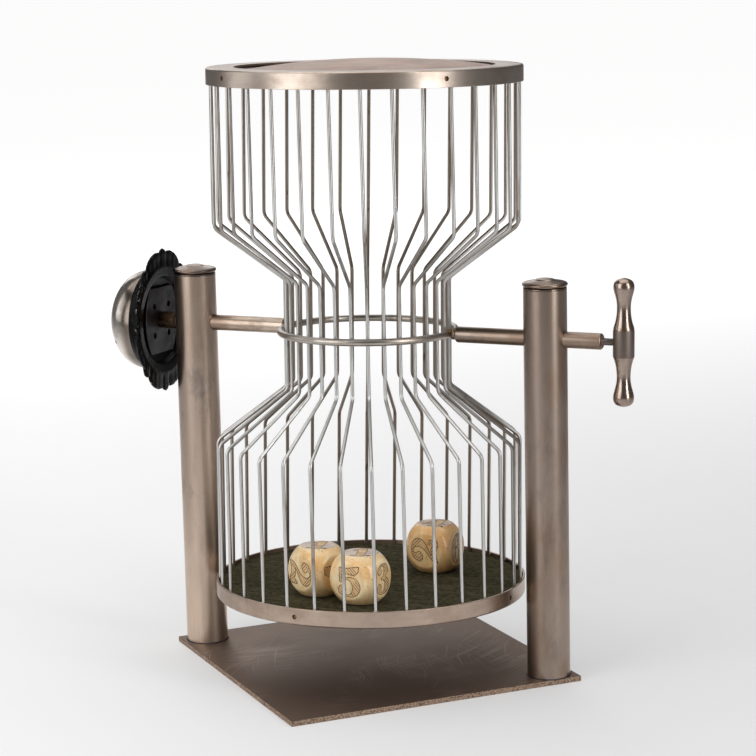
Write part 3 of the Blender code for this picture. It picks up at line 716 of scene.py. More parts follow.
@dataclass(frozen=True)
class BlackEnamel(Finish):
    """Deep gloss black over a rough casting, with patches of dust."""

    black: Colour = tone(0.0018, 0.0017, 0.0017)
    dust: Colour = tone(0.014, 0.012, 0.010)
    bare_and_reflected: Colour = tone(0.62, 0.60, 0.57)
    rim: float = 62.5 * MM
    width_share: float = 0.81

    def paint(self, box: Paintbox) -> None:
        """Add the finish's nodes.

        Args:
            box: the material.
        """
        point = box.place()
        cast = box.noise(point, 170.0, 5.0, 0.65)
        clouds = box.noise(point, 40.0, 4.0, 0.6)
        specks = box.noise(point, 900.0, 2.0, 0.5).step(0.68, 0.78)
        rim = box.reach(point, self.width_share).step(self.rim, self.rim + 2.0 * MM)
        chips = box.noise(point, 260.0, 3.0, 0.6).step(0.62, 0.68) * rim
        colour = box.blend(clouds.step(0.50, 0.80) * 0.25 + specks * 0.25, self.black, self.dust)
        colour = box.blend(chips, colour, self.bare_and_reflected)
        box.feed(
            Base_Color=colour,
            Roughness=0.17 + clouds * 0.12 + specks * 0.3,
            Metallic=chips,
            Specular_IOR_Level=0.10,
            Normal=box.relief(cast, 0.8 * MM, 0.5),
        )


@dataclass(frozen=True)
class BrightNickel(Finish):
    """Polished nickel dome with smoky tarnish, fine rubbing and painted shade darkening it towards
    its mouth, where it meets the casting.
    """

    bright: Colour = tone(0.90, 0.83, 0.76)
    tarnish_and_shade: Colour = tone(0.095, 0.065, 0.046)
    dark: Colour = tone(0.07, 0.05, 0.04)

    def paint(self, box: Paintbox) -> None:
        """Add the finish's nodes.

        Args:
            box: the material.
        """
        point = box.place()
        clouds = box.noise(box.warp(point, 25.0, 0.02), 38.0, 6.0, 0.65)
        tarnish = clouds.step(0.42, 0.66)
        rub = box.scratches(point, 90.0, 0.008, 0.02)
        rub = rub * box.noise(point, 60.0, 3.0, 0.6).step(0.50, 0.65)
        pits = box.noise(point, 800.0, 2.0, 0.5).step(0.72, 0.80)
        # painted shade: the dome is darkened towards its mouth, next to the casting
        mouth = 1 - box.axes(point)[2].step(3 * MM, 15 * MM)
        colour = box.blend(tarnish * 0.40, self.bright, self.tarnish_and_shade)
        colour = box.blend(mouth * 0.82, colour, self.tarnish_and_shade)
        colour = box.blend(pits * 0.8, colour, self.dark)
        rough = 0.17 + tarnish * 0.05 + rub * 0.07 + pits * 0.3
        relief = box.relief(0 - rub - pits, 0.02 * MM, 0.4)
        box.feed(Base_Color=colour, Roughness=rough, Metallic=1.0, Normal=relief)


@dataclass(frozen=True)
class DullIron(Finish):
    """Plain dark iron with bluish scale and a little rust."""

    scale: Colour = tone(0.085, 0.085, 0.092)
    dark: Colour = tone(0.032, 0.029, 0.029)
    rust: Colour = tone(0.125, 0.070, 0.040)

    def paint(self, box: Paintbox) -> None:
        """Add the finish's nodes.

        Args:
            box: the material.
        """
        point = box.place()
        clouds = box.noise(point, 48.0, 5.0, 0.65)
        runs = box.grain(point, (30.0, 160.0, 30.0), 4.0, 0.6)
        rusty = box.noise(point, 120.0, 4.0, 0.7).step(0.60, 0.76)
        colour = box.blend(clouds.step(0.38, 0.68), self.scale, self.dark)
        colour = box.blend(rusty * 0.6, colour, self.rust)
        rough = 0.34 + clouds * 0.2 + rusty * 0.2
        relief = box.relief(runs + clouds, 0.08 * MM, 0.4)
        box.feed(Base_Color=colour, Roughness=rough, Metallic=0.9, Normal=relief)


@dataclass(frozen=True)
class BrownBrass(Finish):
    """Old brass gone brown, brighter where it is rubbed."""

    bright: Colour = tone(0.21, 0.135, 0.075)
    brown: Colour = tone(0.060, 0.038, 0.024)

    def paint(self, box: Paintbox) -> None:
        """Add the finish's nodes.

        Args:
            box: the material.
        """
        point = box.place()
        clouds = box.noise(point, 130.0, 5.0, 0.65)
        rings = box.grain(point, (60.0, 60.0, 2200.0), 2.0, 0.5)
        colour = box.blend(clouds.step(0.32, 0.62), self.bright, self.brown)
        relief = box.relief(rings + clouds, 0.05 * MM, 0.4)
        box.feed(Base_Color=colour, Roughness=0.30 + clouds * 0.2, Metallic=1.0, Normal=relief)


@dataclass(frozen=True)
class Solder(Finish):
    """Soft solder, bright grey with brown flux round it."""

    grey: Colour = tone(0.55, 0.53, 0.49)
    flux: Colour = tone(0.20, 0.125, 0.07)

    def paint(self, box: Paintbox) -> None:
        """Add the finish's nodes.

        Args:
            box: the material.
        """
        point = box.place()
        clouds = box.noise(point, 300.0, 4.0, 0.65)
        colour = box.blend(clouds.step(0.42, 0.62), self.grey, self.flux)
        relief = box.relief(clouds, 0.15 * MM, 0.6)
        box.feed(Base_Color=colour, Roughness=0.34 + clouds * 0.25, Metallic=0.95, Normal=relief)


@dataclass(frozen=True)
class BoardWood(Finish):
    """Plain softwood board between a drum's head and its felt."""

    pale: Colour = tone(0.42, 0.27, 0.14)
    late: Colour = tone(0.22, 0.12, 0.055)

    def paint(self, box: Paintbox) -> None:
        """Add the finish's nodes.

        Args:
            box: the material.
        """
        point = box.place()
        bent = box.warp(box.stretch(point, (0.12, 1.0, 1.0)), 9.0, 0.05)
        rings = box.add(
            "ShaderNodeTexWave",
            {"wave_type": "BANDS", "bands_direction": "Y"},
            {"Vector": bent, "Scale": 42.0, "Distortion": 2.5, "Detail": 3.0},
        )
        fibres = box.grain(point, (30.0, 900.0, 900.0), 3.0, 0.6)
        colour = box.blend(rings * 0.6 + fibres * 0.3, self.pale, self.late)
        relief = box.relief(fibres - rings, 0.08 * MM, 0.5)
        box.feed(Base_Color=colour, Roughness=0.62 + fibres * 0.15, Normal=relief)


@dataclass(frozen=True)
class StudioPaper(Finish):
    """Pale floor whose lane under and behind the object glows as painted light, more on the left
    and most far back, on a dimmer floor that glows little.
    """

    white: Colour = tone(0.55, 0.55, 0.555)
    dim: Colour = tone(0.46, 0.46, 0.465)
    glow_side: Colour = tone(0.07, 0.07, 0.07)
    glow_near: Colour = tone(0.25, 0.25, 0.25)
    glow_left: Colour = tone(0.36, 0.36, 0.36)
    glow_far: Colour = tone(0.90, 0.90, 0.90)
    lane_start: float = -2.245
    lane_widens: float = 0.155

    def paint(self, box: Paintbox) -> None:
        """Add the finish's nodes.

        Args:
            box: the material.
        """
        point = box.place()
        x, y, _ = box.axes(point)
        lane = abs(x) - (y - self.lane_start) * self.lane_widens
        white = (1 - lane.step(0.0, 0.62)) * y.step(-2.6, -0.8)
        tooth = box.noise(point, 300.0, 3.0, 0.6)
        # painted light: the lane glows more on the left, and most far back
        glow = box.blend(x.step(-0.45, 0.30), self.glow_left, self.glow_near)
        glow = box.blend(y.step(0.0, 3.3), glow, self.glow_far)
        box.feed(
            Base_Color=box.blend(white, self.dim, self.white),
            Roughness=0.75 + tooth * 0.1,
            Emission_Color=box.blend(white, self.glow_side, glow),
            Emission_Strength=1.0,
            Normal=box.relief(tooth, 0.02 * MM, 0.2),
        )


@dataclass(frozen=True)
class Palette:
    """The finishes of the whole object."""

    # painted light: a lighter copy of the post nickel for the side light on the left post, with a
    # painted floor reflection lightening its foot
    left_post: Finish = AgedNickel(
        "left_post_lit_nickel", light=tone(0.525, 0.412, 0.336), brown=tone(0.34, 0.245, 0.185),
        grain=(380.0, 380.0, 10.0), drift=(24.0, 24.0, 6.0), patina=0.75, smudged=0.45,
        rubbed=150.0 * MM,
    )
    right_post: Finish = AgedNickel(
        "right_post_nickel", light=tone(0.345, 0.273, 0.226), grain=(380.0, 380.0, 10.0),
        drift=(26.0, 26.0, 8.0), smudged=0.4,
    )
    # painted light: one band nickel in two copies, lighter on the top band and darker on the bottom
    # band
    top_band: Finish = AgedNickel(
        "top_band_nickel", light=tone(0.575, 0.50, 0.435), grain=(24.0, 24.0, 1500.0),
        drift=(12.0, 12.0, 22.0), patina=0.55, smudged=0.1, lip=138.0 * MM,
    )
    bottom_band: Finish = AgedNickel(
        "bottom_band_nickel", light=tone(0.50, 0.395, 0.322), grain=(24.0, 24.0, 1500.0),
        drift=(14.0, 14.0, 22.0), patina=0.6, smudged=0.12, lip=138.0 * MM,
    )
    axle: Finish = AgedNickel(
        "axle_nickel", light=tone(0.53, 0.43, 0.35), grain=(50.0, 50.0, 1900.0),
        drift=(30.0, 30.0, 16.0), shine=0.24,
    )
    right_axle: Finish = AgedNickel(
        "right_axle_nickel", light=tone(0.31, 0.245, 0.20), grain=(50.0, 50.0, 1900.0),
        drift=(30.0, 30.0, 16.0),
    )
    handle: Finish = AgedNickel(
        "handle_nickel", light=tone(0.40, 0.32, 0.273), grain=(60.0, 60.0, 900.0),
        drift=(55.0, 55.0, 34.0), shine=0.16,
    )
    boss: Finish = AgedNickel(
        "boss_nickel", light=tone(0.25, 0.212, 0.19), brown=tone(0.165, 0.13, 0.11), shine=0.34,
    )
    # painted shade in the groove under the cap's bead
    cap: Finish = AgedNickel(
        "cap_nickel", light=tone(0.33, 0.25, 0.20), brown=tone(0.18, 0.125, 0.09),
        groove=(1.0 * MM, 2.15 * MM), grain=(120.0, 120.0, 1400.0), drift=(45.0, 45.0, 45.0),
        shine=0.20,
    )
    ring: Finish = AgedNickel(
        "ring_nickel", light=tone(0.50, 0.465, 0.418), grain=(160.0, 160.0, 600.0),
        drift=(22.0, 22.0, 22.0), patina=0.45,
    )
    wire: Finish = CageWire("wire_plating")
    plate: Finish = PlateSteel("plate_steel")
    head: Finish = HeadPaint("head_paint")
    felt: Finish = GamingFelt("gaming_felt")
    board: Finish = BoardWood("board_softwood")
    bone: Finish = DiceBone("dice_bone_finish")
    deep_bone: Finish = DiceBone(
        "dice_bone_deep", light=tone(1.0, 0.70, 0.35), honey=tone(1.0, 0.50, 0.165)
    )
    ink: Finish = NumeralInk("numeral_ink")
    hatch: Finish = NumeralHatch("numeral_hatch")
    collar: Finish = BrownBrass("collar_brown")
    enamel: Finish = BlackEnamel("casting_enamel")
    gong: Finish = BrightNickel("gong_nickel")
    iron: Finish = DullIron("bell_iron")
    flux: Finish = BrownBrass(
        "joint_flux", bright=tone(0.40, 0.30, 0.18), brown=tone(0.13, 0.08, 0.045)
    )
    solder: Finish = Solder("soft_solder")
    paper: Finish = StudioPaper("studio_paper")


PALETTE = Palette()


# ---- shape workbench


def in_mm(rows: Iterable[Sequence[float]]) -> list[Point2]:
    """Turn rows of radius and height in millimetres into points in metres."""
    return [(row[0] * MM, row[1] * MM) for row in rows]


def ring_point(reach: float, angle: float, height: float) -> Vector:
    """Give a point at a distance, angle and height from the Z axis."""
    return Vector((reach * math.cos(angle), reach * math.sin(angle), height))


def about(axis: str, angle: float) -> Matrix:
    """Give a turn about one axis."""
    return Matrix.Rotation(angle, 4, axis)


def moved(x: float, y: float, z: float) -> Matrix:
    """Give a move along the three axes."""
    return Matrix.Translation((x, y, z))


def placed(name: str, data: Any) -> bpy.types.Object:
    """Put new data into the scene as an object.

    Args:
        name: the object's name.
        data: its mesh, curve, light or camera.

    Returns:
        The object.
    """
    thing = bpy.data.objects.new(name, data)
    bpy.context.scene.collection.objects.link(thing)
    return thing


def smooth(mesh: bpy.types.Mesh) -> bpy.types.Mesh:
    """Shade a mesh smooth, apart from its sharp edges.

    Args:
        mesh: the mesh.

    Returns:
        The same mesh.
    """
    mesh.shade_smooth()
    mesh.set_sharp_from_angle(angle=SHARP)
    return mesh


def drawn(work: bpy.types.Object) -> bpy.types.Mesh:
    """Take an object's shape after its modifiers, as a new mesh.

    Args:
        work: the object.

    Returns:
        The mesh.
    """
    bpy.context.view_layer.update()
    graph = bpy.context.evaluated_depsgraph_get()
    return bpy.data.meshes.new_from_object(work.evaluated_get(graph))


def finished(
    name: str, vertices: Sequence[Any], faces: Sequence[Sequence[int]]
) -> bpy.types.Mesh:
    """Make a smooth-shaded mesh that keeps its sharp corners.

    Args:
        name: the mesh's name.
        vertices: its points.
        faces: its faces.

    Returns:
        The mesh.
    """
    mesh = bpy.data.meshes.new(name)
    mesh.from_pydata([tuple(v) for v in vertices], [], faces)
    return smooth(mesh)


def turned(
    name: str,
    profile: Sequence[Point2],
    sides: int = TURN_STEPS,
    hollow: bool = False,
    wave: Callable[[float, int], Point2] | None = None,
    squash: Callable[[int], float] | None = None,
) -> bpy.types.Mesh:
    """Turn a profile round Z, from its top down its outer side.

    Args:
        name: the mesh's name.
        profile: radius and height of each point.
        sides: facets round the turn.
        hollow: whether the last point joins the first.
        wave: what to add to radius and height at an angle and profile point.
        squash: the share of its width along Y that a profile point keeps.

    Returns:
        The mesh.
    """
    vertices: list[Triple] = []
    rings: list[list[int]] = []
    for place, (radius, height) in enumerate(profile):
        start = len(vertices)
        if radius == 0:
            vertices.append((0, 0, height + (wave(0.0, place)[1] if wave else 0.0)))
            rings.append([start])
            continue
        for i in range(sides):
            angle = 2 * math.pi * i / sides
            more, lift = wave(angle, place) if wave else (0.0, 0.0)
            reach = radius + more
            width = squash(place) if squash else 1.0
            x, y = reach * math.cos(angle), reach * math.sin(angle) * width
            vertices.append((x, y, height + lift))
        rings.append(list(range(start, start + sides)))
    faces: list[tuple[int, ...]] = []
    for upper, lower in zip(rings, rings[1:] + (rings[:1] if hollow else [])):
        for i in range(sides):
            j = (i + 1) % sides
            if len(upper) == 1 and len(lower) > 1:
                faces.append((upper[0], lower[i], lower[j]))
            elif len(lower) == 1 and len(upper) > 1:
                faces.append((upper[i], lower[0], upper[j]))
            elif len(upper) > 1:
                faces.append((upper[i], lower[i], lower[j], upper[j]))
    return finished(name, vertices, faces)


def eased(points: Sequence[Point2], reach: float, closed: bool = False) -> list[Point2]:
    """Round every corner of a profile a little.

    Args:
        points: the profile.
        reach: how far a corner is cut back along each side.
        closed: whether the profile is a loop.

    Returns:
        The eased profile.
    """
    count = len(points)
    result: list[Point2] = []
    for i, point in enumerate(points):
        if not closed and i in (0, count - 1):
            result.append(point)
            continue
        corner = Vector(point)
        before = Vector(points[i - 1]) - corner
        after = Vector(points[(i + 1) % count]) - corner
        if not before.length or not after.length or before.angle(after) > NEARLY_STRAIGHT:
            result.append(point)
            continue
        start = corner + before.normalized() * min(reach, before.length * CORNER_SHARE)
        end = corner + after.normalized() * min(reach, after.length * CORNER_SHARE)
        for share in CORNER_STEPS:
            bend = start.lerp(corner, share).lerp(corner.lerp(end, share), share)
            result.append((bend.x, bend.y))
    return result


def flowing(points: Sequence[Point2], steps: int) -> list[Point2]:
    """Run a smooth curve through the points of a profile.

    Args:
        points: the points that it passes.
        steps: pieces between two points.

    Returns:
        The finer profile.
    """
    full = [points[0], *points, points[-1]]
    result: list[Point2] = []
    for a, b, c, d in zip(full, full[1:], full[2:], full[3:]):
        for i in range(steps):
            t = i / steps
            point = []
            for k in (0, 1):
                bend = 2 * a[k] - 5 * b[k] + 4 * c[k] - d[k]
                twist = 3 * b[k] - a[k] - 3 * c[k] + d[k]
                point.append(0.5 * (2 * b[k] + (c[k] - a[k]) * t + bend * t**2 + twist * t**3))
            result.append((point[0], point[1]))
    result.append(points[-1])
    return [(max(r, 0.0), z) for r, z in result]


def swept(name: str, route: Sequence[Vector], radius: float, sides: int = 12) -> bpy.types.Mesh:
    """Sweep a round rod along a route, with closed ends.

    Args:
        name: the mesh's name.
        route: the points of its centre line.
        radius: the rod's radius.
        sides: facets round the rod.

    Returns:
        The mesh.
    """
    vertices: list[Vector] = []
    faces: list[tuple[int, ...]] = []
    side = (route[1] - route[0]).orthogonal().normalized()
    for i, centre in enumerate(route):
        ahead = route[min(i + 1, len(route) - 1)] - route[max(i - 1, 0)]
        ahead.normalize()
        side = (side - ahead * side.dot(ahead)).normalized()
        up = ahead.cross(side)
        for k in range(sides):
            angle = 2 * math.pi * k / sides
            vertices.append(centre + (side * math.cos(angle) + up * math.sin(angle)) * radius)
        if i:
            low, high = (i - 1) * sides, i * sides
            for k in range(sides):
                j = (k + 1) % sides
                faces.append((low + k, low + j, high + j, high + k))
    faces.append(tuple(reversed(range(sides))))
    faces.append(tuple(range(len(vertices) - sides, len(vertices))))
    return finished(name, vertices, faces)


def lumps(name: str, places: Iterable[tuple[Vector, Triple, float]]) -> bpy.types.Mesh:
    """Make a row of small rounded lumps as one mesh.

    Args:
        name: the mesh's name.
        places: centre, half sizes and turn about Z of each lump.

    Returns:
        The mesh.
    """
    mesh = bpy.data.meshes.new(name)
    shape = bmesh.new()
    for centre, half, turn in places:
        matrix = moved(*centre) @ about("Z", turn) @ Matrix.Diagonal((*half, 1.0))
        bmesh.ops.create_icosphere(shape, subdivisions=2, radius=1.0, matrix=matrix)
    shape.to_mesh(mesh)
    shape.free()
    mesh.shade_smooth()
    return mesh


def bored(
    mesh: bpy.types.Mesh, tools: Sequence[tuple[Matrix, float, float]], barrel: float | None = None
) -> bpy.types.Mesh:
    """Cut round holes through a mesh.

    Args:
        mesh: the mesh to cut.
        tools: place, radius and length of each drill.
        barrel: radius of the upright outer side, which then shades as one true cylinder.

    Returns:
        The cut mesh.
    """
    work = placed(mesh.name + "_work", mesh)
    drills = []
    for place, radius, length in tools:
        half = length / 2
        profile = [(0, half), (radius, half), (radius, -half), (0, -half)]
        drill = placed("drill", turned("drill", profile, DRILL_SIDES))
        drill.matrix_world = place
        step = work.modifiers.new("bore", "BOOLEAN")
        step.operation = "DIFFERENCE"
        step.solver = "EXACT"
        step.object = drill
        drills.append(drill)
    result = drawn(work)
    result.name = mesh.name
    for spare in (work, *drills):
        bpy.data.objects.remove(spare, do_unlink=True)
    smooth(result)
    if barrel:
        true_side(result, barrel)
    return result


def true_side(mesh: bpy.types.Mesh, radius: float) -> None:
    """Point the normals of a turned mesh's outer side straight out from its axis.

    Args:
        mesh: the mesh, turned about Z.
        radius: the outer side's radius.
    """
    normals = [Vector((0, 0, 0))] * len(mesh.loops)
    for face in mesh.polygons:
        flat = Vector((face.center.x, face.center.y, 0))
        upright = abs(face.normal.z) <= UPRIGHT_SLOPE
        outward = face.normal.dot(flat.normalized()) >= OUTWARD_SHARE
        if not (upright and outward) or flat.length < radius * OUTER_SHARE:
            continue
        for loop in face.loop_indices:
            place = mesh.vertices[mesh.loops[loop].vertex_index].co
            normals[loop] = Vector((place.x, place.y, 0)).normalized()
    mesh.normals_split_custom_set(normals)


def settle(
    mesh: bpy.types.Mesh,
    name: str,
    finish: Finish,
    body: Body,
    at: Matrix | None = None,
    stands_for: Sequence[str] = (),
) -> bpy.types.Object:
    """Put a piece in its place, dress it and let it ride on its body.

    Args:
        mesh: the piece's mesh.
        name: the piece's name.
        finish: its finish.
        body: the body that it rides on.
        at: its place.
        stands_for: the solids that it replaces.

    Returns:
        The piece.
    """
    piece = placed(name, mesh)
    mesh.materials.clear()
    mesh.materials.append(finish.material())
    piece.matrix_world = at or Matrix.Identity(4)
    bpy.context.view_layer.update()
    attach(piece, body.value)
    if stands_for:
        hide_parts(*stands_for)
    LOG.info("made %s", name)
    return piece


def dress(node: str, finish: Finish) -> None:
    """Give a solid that stays as it is its detailed finish.

    Args:
        node: the solid's name.
        finish: its finish.
    """
    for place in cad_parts[node].material_slots:
        place.material = finish.material()
    LOG.info("dressed %s", node)


# ---- sub-assemblies


@dataclass(frozen=True)
class Layout:
    """Where the axle and the cage lie."""

    axle_height: float = 307.0 * MM
    cage_shift: float = 1.9 * MM
    cage_drop: float = 1.6 * MM
    rest_turn: float = math.radians(-1.5)
    seat: float = 0.3 * MM

    def axle(self) -> Matrix:
        """Give the frame of the axle, its Z up the cage."""
        return moved(self.cage_shift, 0, self.axle_height) @ about("X", self.rest_turn)

    def drums(self) -> Matrix:
        """Give the frame of the cage's middle height."""
        return self.axle() @ moved(0, 0, -self.cage_drop)

    def outwards(self, start: float, right: bool) -> Matrix:
        """Give a frame whose Z runs along the axle away from the cage.

        Args:
            start: distance from the cage's middle.
            right: whether it is on the handle's side.

        Returns:
            The frame.
        """
        sign = 1 if right else -1
        return self.axle() @ moved(sign * start, 0, 0) @ about("Y", sign * QUARTER)


LAYOUT = Layout()


@dataclass
class Stand:
    """The base plate and the two capped posts."""

    plate_x: float = 276.4 * MM
    plate_y: float = 286.6 * MM
    plate_z: float = 4.8 * MM
    plate_turn: float = math.radians(47.2)
    post_reach: float = 170.1 * MM
    post_radius: float = 19.05 * MM
    post_wall: float = 2.6 * MM
    post_height: float = 346.0 * MM
    hole_radius: float = 7.4 * MM
    drill: float = 60 * MM
    plate_edge: float = 0.45 * MM
    tube_edge: float = 0.3 * MM
    cap_edge: float = 0.2 * MM
    cap_steps: int = 3
    cap_top: tuple[Point2, ...] = (
        (0.0, 8.6), (5.0, 8.5), (7.2, 8.25), (8.4, 7.75), (9.2, 7.35), (12.0, 6.8), (15.5, 6.1),
        (17.6, 5.65),
    )
    cap_bead: tuple[Point2, ...] = (
        (18.7, 5.3), (19.5, 4.6), (19.85, 3.8), (19.7, 2.9), (19.1, 2.15),
    )
    cap_foot: tuple[Point2, ...] = (
        (18.2, 2.0), (18.15, 1.15), (19.0, 1.0), (19.05, 0.0), (16.1, 0.0), (16.1, -9.0),
        (0.0, -9.0),
    )
    fillet: tuple[Point2, ...] = ((0.05, 0.8), (0.45, 0.35), (0.95, 0.0), (-0.2, 0.0), (-0.2, 0.8))

    def plate_mesh(self) -> bpy.types.Mesh:
        """Make the plate with softly broken edges.

        Returns:
            The mesh.
        """
        mesh = bpy.data.meshes.new("base_plate_looks")
        shape = bmesh.new()
        bmesh.ops.create_cube(shape, size=1)
        bmesh.ops.scale(shape, vec=(self.plate_x, self.plate_y, self.plate_z), verts=shape.verts)
        bmesh.ops.bevel(
            shape,
            geom=shape.edges[:],
            offset=self.plate_edge,
            segments=3,
            profile=0.5,
            affect="EDGES",
            clamp_overlap=True,
        )
        shape.to_mesh(mesh)
        shape.free()
        return smooth(mesh)

    def tube_mesh(self) -> bpy.types.Mesh:
        """Make a post tube with its axle hole.

        Returns:
            The mesh.
        """
        outer, top = self.post_radius, self.post_height
        inner = outer - self.post_wall
        section = [(inner, top), (outer, top), (outer, 0), (inner, 0)]
        profile = eased(section, self.tube_edge, closed=True)
        tube = turned("post_tube", profile, hollow=True)
        height = LAYOUT.axle_height - self.plate_z - LAYOUT.seat
        place = moved(0, 0, height) @ about("Y", QUARTER)
        return bored(tube, [(place, self.hole_radius, self.drill)], self.post_radius)

    def cap_mesh(self) -> bpy.types.Mesh:
        """Turn a cap: thin lip, groove, fat bead, shallow dome and raised button.

        Returns:
            The mesh.
        """
        top, bead, foot = in_mm(self.cap_top), in_mm(self.cap_bead), in_mm(self.cap_foot)
        below = eased([bead[-1], *foot], self.cap_edge)[1:]
        steps = self.cap_steps
        return turned("post_cap", flowing(top, steps) + flowing(bead, steps) + below)

    def build(self) -> None:
        """Make and dress the stand."""
        at = moved(0, 0, self.plate_z / 2) @ about("Z", self.plate_turn)
        plate = self.plate_mesh()
        settle(plate, "plate", PALETTE.plate, Body.STAND, at, ["base_plate"])
        tube = self.tube_mesh()
        cap = self.cap_mesh()
        foot = self.plate_z + LAYOUT.seat
        section = [(self.post_radius + r, z) for r, z in in_mm(self.fillet)]
        fillet = turned("post_fillet", section, hollow=True)
        for word, side, angle, finish in (
            ("left", -1, 0.0, PALETTE.left_post),
            ("right", 1, math.pi, PALETTE.right_post),
        ):
            x, turn, node = side * self.post_reach, about("Z", angle), f"{word}_post"
            at = moved(x, 0, foot) @ turn
            settle(tube.copy(), f"{word}_tube", finish, Body.STAND, at, [node])
            at, node = moved(x, 0, foot + self.post_height + LAYOUT.seat) @ turn, node + "_cap"
            settle(cap.copy(), f"{word}_cap", PALETTE.cap, Body.STAND, at, [node])
            at = moved(x, 0, self.plate_z)
            settle(fillet.copy(), f"{word}_fillet", PALETTE.iron, Body.STAND, at)


@dataclass
class Axle:
    """The two half axles, the stud and the T-handle."""

    radius: float = 7.1 * MM
    ring_face: float = 81.475 * MM
    spindle: float = 4.0 * MM
    tip: float = 3.0 * MM
    left_shoulder: float = 191.55 * MM
    spindle_step: float = 214.25 * MM
    left_end: float = 249.65 * MM
    right_end: float = 220.2 * MM
    stud_radius: float = 3.2 * MM
    shown_stud: float = 9.8 * MM
    handle_half: float = 56.0 * MM
    handle_radius: float = 9.3 * MM
    bore_radius: float = 1.7 * MM
    bore_depth: float = 8 * MM
    socket_radius: float = 3.5 * MM
    socket_depth: float = 10.3 * MM
    bevel: float = 1.1 * MM
    neck_radius: float = 4.8 * MM
    neck_length: float = 3.8 * MM
    soft_edge: float = 0.35 * MM
    pitch: float = 1.0 * MM
    thread_depth: float = 0.3 * MM
    stud_in_axle: float = 10 * MM
    stud_in_boss: float = 8.5 * MM
    boss_edge: float = 0.2 * MM
    upper_foot: Point2 = (0.985, 10.9 * MM)
    lower_top: Point2 = (0.97, -12.6 * MM)
    axle_sides: int = 64
    stud_sides: int = 40
    handle_sides: int = 72
    arm_steps: int = 4
    arm_shares: tuple[Point2, ...] = (
        (0.990, 0.27), (0.972, 0.60), (0.945, 0.815), (0.905, 0.935), (0.860, 0.975),
        (0.815, 0.955), (0.760, 0.875), (0.690, 0.757), (0.610, 0.670), (0.530, 0.642),
        (0.450, 0.665), (0.370, 0.725), (0.300, 0.825), (0.240, 0.940), (0.205, 0.985),
    )
    boss_shares: tuple[Point2, ...] = (
        (0, 10.8), (1, 10.8), (1, -11.7), (0.965, -11.8), (0.965, -12.1), (1, -12.2),
        (0.99, -12.55), (0, -12.55),
    )

    def left_profile(self) -> list[Point2]:
        """List the left half axle's outline, outer end first.

        Returns:
            Radius and distance of each point.
        """
        start, end = self.ring_face + LAYOUT.seat, self.left_end
        bore, tip, spindle, full = self.bore_radius, self.tip, self.spindle, self.radius
        floor, step, shoulder = end - self.bore_depth, self.spindle_step, self.left_shoulder
        profile = [(0, floor), (bore, floor), (bore, end), (tip, end), (tip, step), (spindle, step)]
        return [*profile, (spindle, shoulder), (full, shoulder), (full, start), (0, start)]

    def right_profile(self) -> list[Point2]:
        """List the right half axle's outline, outer end first.

        Returns:
            Radius and distance of each point.
        """
        start, end, cut = self.ring_face + LAYOUT.seat, self.right_end, self.bevel
        socket, full, neck = self.socket_radius, self.radius, self.neck_radius
        floor, body = end - self.socket_depth, start + self.neck_length
        profile = [(0, floor), (socket, floor), (socket, end), (full - cut, end), (full, end - cut)]
        profile += [(full, body + cut), (full - cut, body), (neck, body), (neck, start)]
        return [*profile, (0, start)]

    def stud_profile(self) -> list[Point2]:
        """List the stud's outline, with its thread, outer end first.

        Returns:
            Radius and distance of each point.
        """
        start = self.right_end - self.stud_in_axle
        height = self.right_end + self.shown_stud + self.stud_in_boss
        root = self.stud_radius - self.thread_depth
        points: list[Point2] = [(0, height)]
        while height > start:
            points += [(root, height), (self.stud_radius, height - self.pitch / 2)]
            height -= self.pitch
        return [*points, (root, start), (0, start)]

    def handle_meshes(self) -> tuple[bpy.types.Mesh, bpy.types.Mesh, bpy.types.Mesh]:
        """Turn the two polished arms and the duller boss between them.

        Returns:
            Upper arm, boss and lower arm.
        """
        full = self.handle_radius
        arm = [(full * r, self.handle_half * z) for z, r in self.arm_shares]
        top = flowing([(0.0, self.handle_half), *arm], self.arm_steps)
        below = [(r, -z) for r, z in reversed(top)]
        (wide, foot), (broad, head) = self.upper_foot, self.lower_top
        upper = [*top, (full * wide, foot), (0, foot)]
        lower = [(0, head), (full * broad, head), *below[1:]]
        boss = eased([(full * r, z * MM) for r, z in self.boss_shares], self.boss_edge)
        return (
            turned("handle_upper", upper, self.handle_sides),
            turned("handle_boss", boss, self.handle_sides),
            turned("handle_lower", lower, self.handle_sides),
        )

    def build(self) -> None:
        """Make and dress the axle and its handle."""
        sides, edge = self.axle_sides, self.soft_edge
        left = turned("left_half_axle", eased(self.left_profile(), edge), sides)
        right = turned("right_half_axle", eased(self.right_profile(), edge), sides)
        stud = turned("stud", self.stud_profile(), self.stud_sides)
        reach = self.right_end + self.shown_stud + self.handle_radius
        inwards = LAYOUT.outwards(0.0, right=False)
        outwards = LAYOUT.outwards(0.0, right=True)
        handle = LAYOUT.axle() @ moved(reach, 0, 0)
        upper, boss, lower = self.handle_meshes()
        dull, polished = PALETTE.boss, PALETTE.handle
        for mesh, name, finish, slot, at, node in (
            (left, "left_half_axle", PALETTE.axle, Slot.NICKEL, inwards, ["left_axle"]),
            (right, "right_half_axle", PALETTE.right_axle, Slot.NICKEL, outwards, ["right_axle"]),
            (stud, "threaded_stud", dull, Slot.IRON, outwards, ["handle_stud"]),
            (upper, "handle_upper_arm", polished, Slot.NICKEL, handle, ["turning_handle"]),
            (boss, "handle_boss", dull, Slot.NICKEL, handle, []),
            (lower, "handle_lower_arm", polished, Slot.NICKEL, handle, []),
        ):
            settle(mesh, name, finish, Body.CAGE, at, node)


